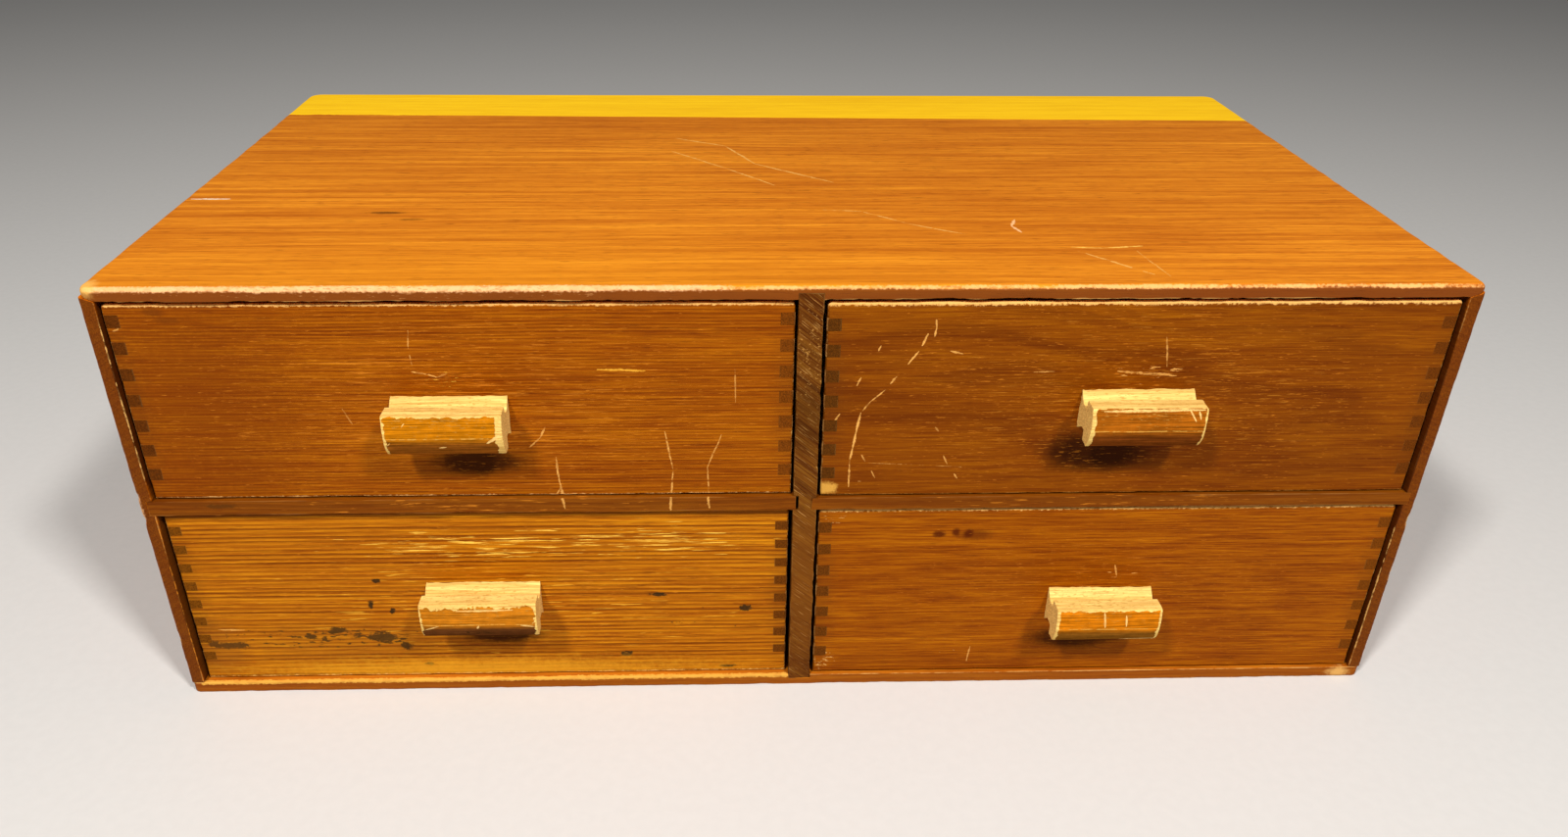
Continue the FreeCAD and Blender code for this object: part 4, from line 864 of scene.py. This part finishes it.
# Worn edges in the mesh itself: the piece is a copy of the board with its sharp edges eased, cut into
# short lengths, and its arrises then eaten into by an uneven amount. Sizes here are in millimetres,
# angles in degrees.
biteBase = 0.35
biteNoises = ((0.55, 0.6), (0.13, 0.9), (1.7, 0.3))  # how fine and how strong each is
meshCare = {"weld": 0.002, "cut": 0.001, "flat": 0.6, "sharp": 40, "shadedSharp": 50}
plainWear = {"ease": 0.12, "hull": 0, "steps": (2, 0, 2), "eaten": 0.12, "reach": 0.9, "chips": ()}
wear = {
    "case_top_board": {"steps": (1.5, 3, 0), "eaten": 0.3, "reach": 1.6},
    "case_top_back_strip": {"steps": (3, 3, 0), "eaten": 0.15, "reach": 1.4},
    "case_bottom_board": {"steps": (2, 4, 0), "eaten": 0.22, "reach": 1.2},
    "case_left_side": {"steps": (0, 4, 1), "eaten": 0.22, "chips": (
        ((-190, -103.5, 66.5), 2.4, (0.4, 0.3, 0)), ((-190, -103.5, 75), 2, (0.35, 0.3, 0)),
        ((-190, -103.5, 22), 2.4, (0.4, 0.3, 0)))},
    "case_right_side": {"steps": (0, 4, 1), "eaten": 0.22, "chips": (
        ((190, -103.5, 62), 2.4, (-0.4, 0.3, 0)), ((190, -103.5, 42), 2.4, (-0.4, 0.3, 0)))},
    "case_centre_divider": {"steps": (1, 6, 1), "eaten": 0.3, "reach": 1.2},
    "case_left_shelf": {"steps": (2, 8, 0), "eaten": 0.2, "reach": 1.0},
    "case_right_shelf": {"steps": (2, 8, 0), "eaten": 0.2, "reach": 1.0},
}
for place in ("upper_left", "upper_right", "lower_left", "lower_right"):
    wear[f"{place}_drawer_front"] = {"steps": (2, 0, 1.5), "eaten": 0.18, "reach": 0.9, "ease": 0.07, "hull": 0.9}
    for side in ("left_side", "right_side"):
        wear[f"{place}_drawer_{side}"] = {"steps": (0, 8, 1.5), "eaten": 0.08, "reach": 0.6, "ease": 0.07,
            "hull": 0.3}
    wear[f"{place}_pull"] = {"steps": (0.8, 0.8, 0.8), "eaten": 0.22, "reach": 0.8, "ease": 0.1}


def wornCopy(name):
    habit = {**plainWear, **wear[name]}
    mesh = nodes[name].data.copy()
    work = bmesh.new()
    work.from_mesh(mesh)
    work.transform(Matrix.Scale(1000.0, 4))
    bmesh.ops.remove_doubles(work, verts=work.verts, dist=meshCare["weld"])
    flat, bend = math.radians(meshCare["flat"]), math.radians(meshCare["sharp"])
    bmesh.ops.dissolve_limit(work, angle_limit=flat, verts=work.verts, edges=work.edges)
    low, high = [Vector(corner) * 1000 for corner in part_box(name)]

    def hullDepths(point):
        return [min(point[i] - low[i], high[i] - point[i]) for i in range(3)]

    sharp = [edge for edge in work.edges if len(edge.link_faces) == 2 and edge.calc_face_angle(0) > bend]
    if habit["hull"]:
        # only the board's outermost edges are eased: its joints stay tight
        sharp = [edge for edge in sharp
            if sorted(hullDepths((edge.verts[0].co + edge.verts[1].co) / 2))[1] < habit["hull"]]
    bmesh.ops.bevel(work, geom=sharp, offset=habit["ease"], segments=2, profile=0.5, affect="EDGES",
        clamp_overlap=True)
    for axis, step in enumerate(habit["steps"]):
        if step:
            count = max(1, round((high[axis] - low[axis]) / step))
            normal = Vector([float(axis == i) for i in range(3)])
            for number in range(1, count):
                at = low + (high - low) * number / count
                everything = work.verts[:] + work.edges[:] + work.faces[:]
                bmesh.ops.bisect_plane(work, geom=everything, dist=meshCare["cut"], plane_co=at, plane_no=normal)
    middle = (low + high) / 2
    for vertex in work.verts:
        depth = hullDepths(vertex.co)
        near = sorted(range(3), key=lambda i: depth[i])[:2]
        closeness = 1.0 - max(depth[near[0]], depth[near[1]]) / habit["reach"]
        if closeness > 0:
            grit = 0.0
            for scale, strength in biteNoises:
                grit += noise.noise(vertex.co * scale) * strength
            bite = max(0.0, biteBase + grit) * habit["eaten"] * closeness
            for i in near:
                vertex.co[i] += bite if vertex.co[i] < middle[i] else -bite
        for centre, radius, push in habit["chips"]:
            distance = (vertex.co - Vector(centre)).length / radius
            if distance < 1.0:
                grit = 0.7 + noise.noise(vertex.co * 0.9) * 0.8
                vertex.co += Vector(push) * (1.0 - distance * distance) * grit
    work.transform(Matrix.Scale(0.001, 4))
    bmesh.ops.dissolve_degenerate(work, dist=1e-7, edges=work.edges)
    bmesh.ops.recalc_face_normals(work, faces=work.faces)
    work.to_mesh(mesh)
    work.free()
    mesh.polygons.foreach_set("use_smooth", [True] * len(mesh.polygons))
    if mesh.has_custom_normals:
        mesh.attributes.remove(mesh.attributes["custom_normal"])
    mesh.set_sharp_from_angle(angle=math.radians(meshCare["shadedSharp"]))
    piece = putDown(name + "_worn", mesh)
    evener = piece.modifiers.new("evenShading", "WEIGHTED_NORMAL")
    evener.keep_sharp = True
    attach(piece, bodyOf[name])
    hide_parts(name)
    return piece


pieces = {name: wornCopy(name) if name in wear else nodes[name] for name in nodes}
print("edges worn on", len(wear), "pieces")

steel = nailSteel()
for name, piece in pieces.items():
    piece.data.materials.clear()
    if name.endswith("brads"):
        piece.data.materials.append(steel)
    else:
        piece.data.materials.append(woodMaterial(name + "Wood", boxOf(name), *look(name)))
print("wood laid on", len(pieces), "pieces")


# Floor, light and camera
studio = {"floor": (0.7, 0.69, 0.675), "floorSize": 12, "floorRoughness": 0.85, "skyStrength": 0.07}


def buildStudio():
    bpy.ops.mesh.primitive_plane_add(size=studio["floorSize"], location=(0, 0, 0))
    floor = bpy.context.object
    floor.name = "floor"
    material, tree, shader = newMaterial("paleFloor")
    speckle = cloudy(tree, addNode(tree, "TexCoord").outputs["Object"], (300, 300, 300), detail=4.0)
    shade = ramp(tree, speckle, 0.2, 0.8, 0.97, 1.0)
    floorColour = scaled(tree, studio["floor"], shade)
    plugAll(tree, {"Base Color": floorColour, "Roughness": studio["floorRoughness"]}, shader.inputs)
    floor.data.materials.append(material)
    world = bpy.data.worlds.new("studioWorld")
    bpy.context.scene.world = world
    world.use_nodes = True
    sky = {"Color": (1, 1, 1), "Strength": studio["skyStrength"]}
    plugAll(world.node_tree, sky, world.node_tree.nodes["Background"].inputs)


softbox = {"size": 0.14, "colour": (1.0, 0.97, 0.93)}
lamps = {
    "leftSoftbox": {"place": (-0.45, -0.74, 1.02), "aim": (-0.03, -0.08, 0.08), "watts": 11.6},
    "rightSoftbox": {"place": (0.45, -0.74, 1.02), "aim": (0.03, -0.08, 0.08), "watts": 11.0},
}


def buildLamps():
    for name, lamp in lamps.items():
        light = bpy.data.lights.new(name, "AREA")
        light.size, light.color, light.energy = softbox["size"], softbox["colour"], lamp["watts"]
        holder = putDown(name, light)
        holder.location = lamp["place"]
        holder.rotation_euler = (Vector(lamp["aim"]) - Vector(lamp["place"])).to_track_quat("-Z", "Y").to_euler()


cameraSet = {
    "place": (-0.01971, -0.39377, 0.26251), "tilt": 29.3, "heading": 2.13, "roll": 0.65, "lens": 26.865,
    "sensor": 36.0, "shift": 0.0148, "nearest": 0.01, "farthest": 50.0}


def buildCamera():
    camera = bpy.data.cameras.new("photoCamera")
    camera.lens = cameraSet["lens"]
    camera.sensor_width = cameraSet["sensor"]
    camera.shift_x = cameraSet["shift"]
    camera.clip_start, camera.clip_end = cameraSet["nearest"], cameraSet["farthest"]
    holder = putDown("photoCamera", camera)
    heading = Matrix.Rotation(-math.radians(cameraSet["heading"]), 4, "Z")
    tilt = Matrix.Rotation(math.radians(90.0 - cameraSet["tilt"]), 4, "X")
    roll = Matrix.Rotation(math.radians(cameraSet["roll"]), 4, "Z")
    holder.matrix_world = Matrix.Translation(cameraSet["place"]) @ heading @ tilt @ roll
    bpy.context.scene.camera = holder


buildStudio()
buildLamps()
buildCamera()
bpy.context.scene.view_settings.view_transform = "Standard"
print("studio ready")
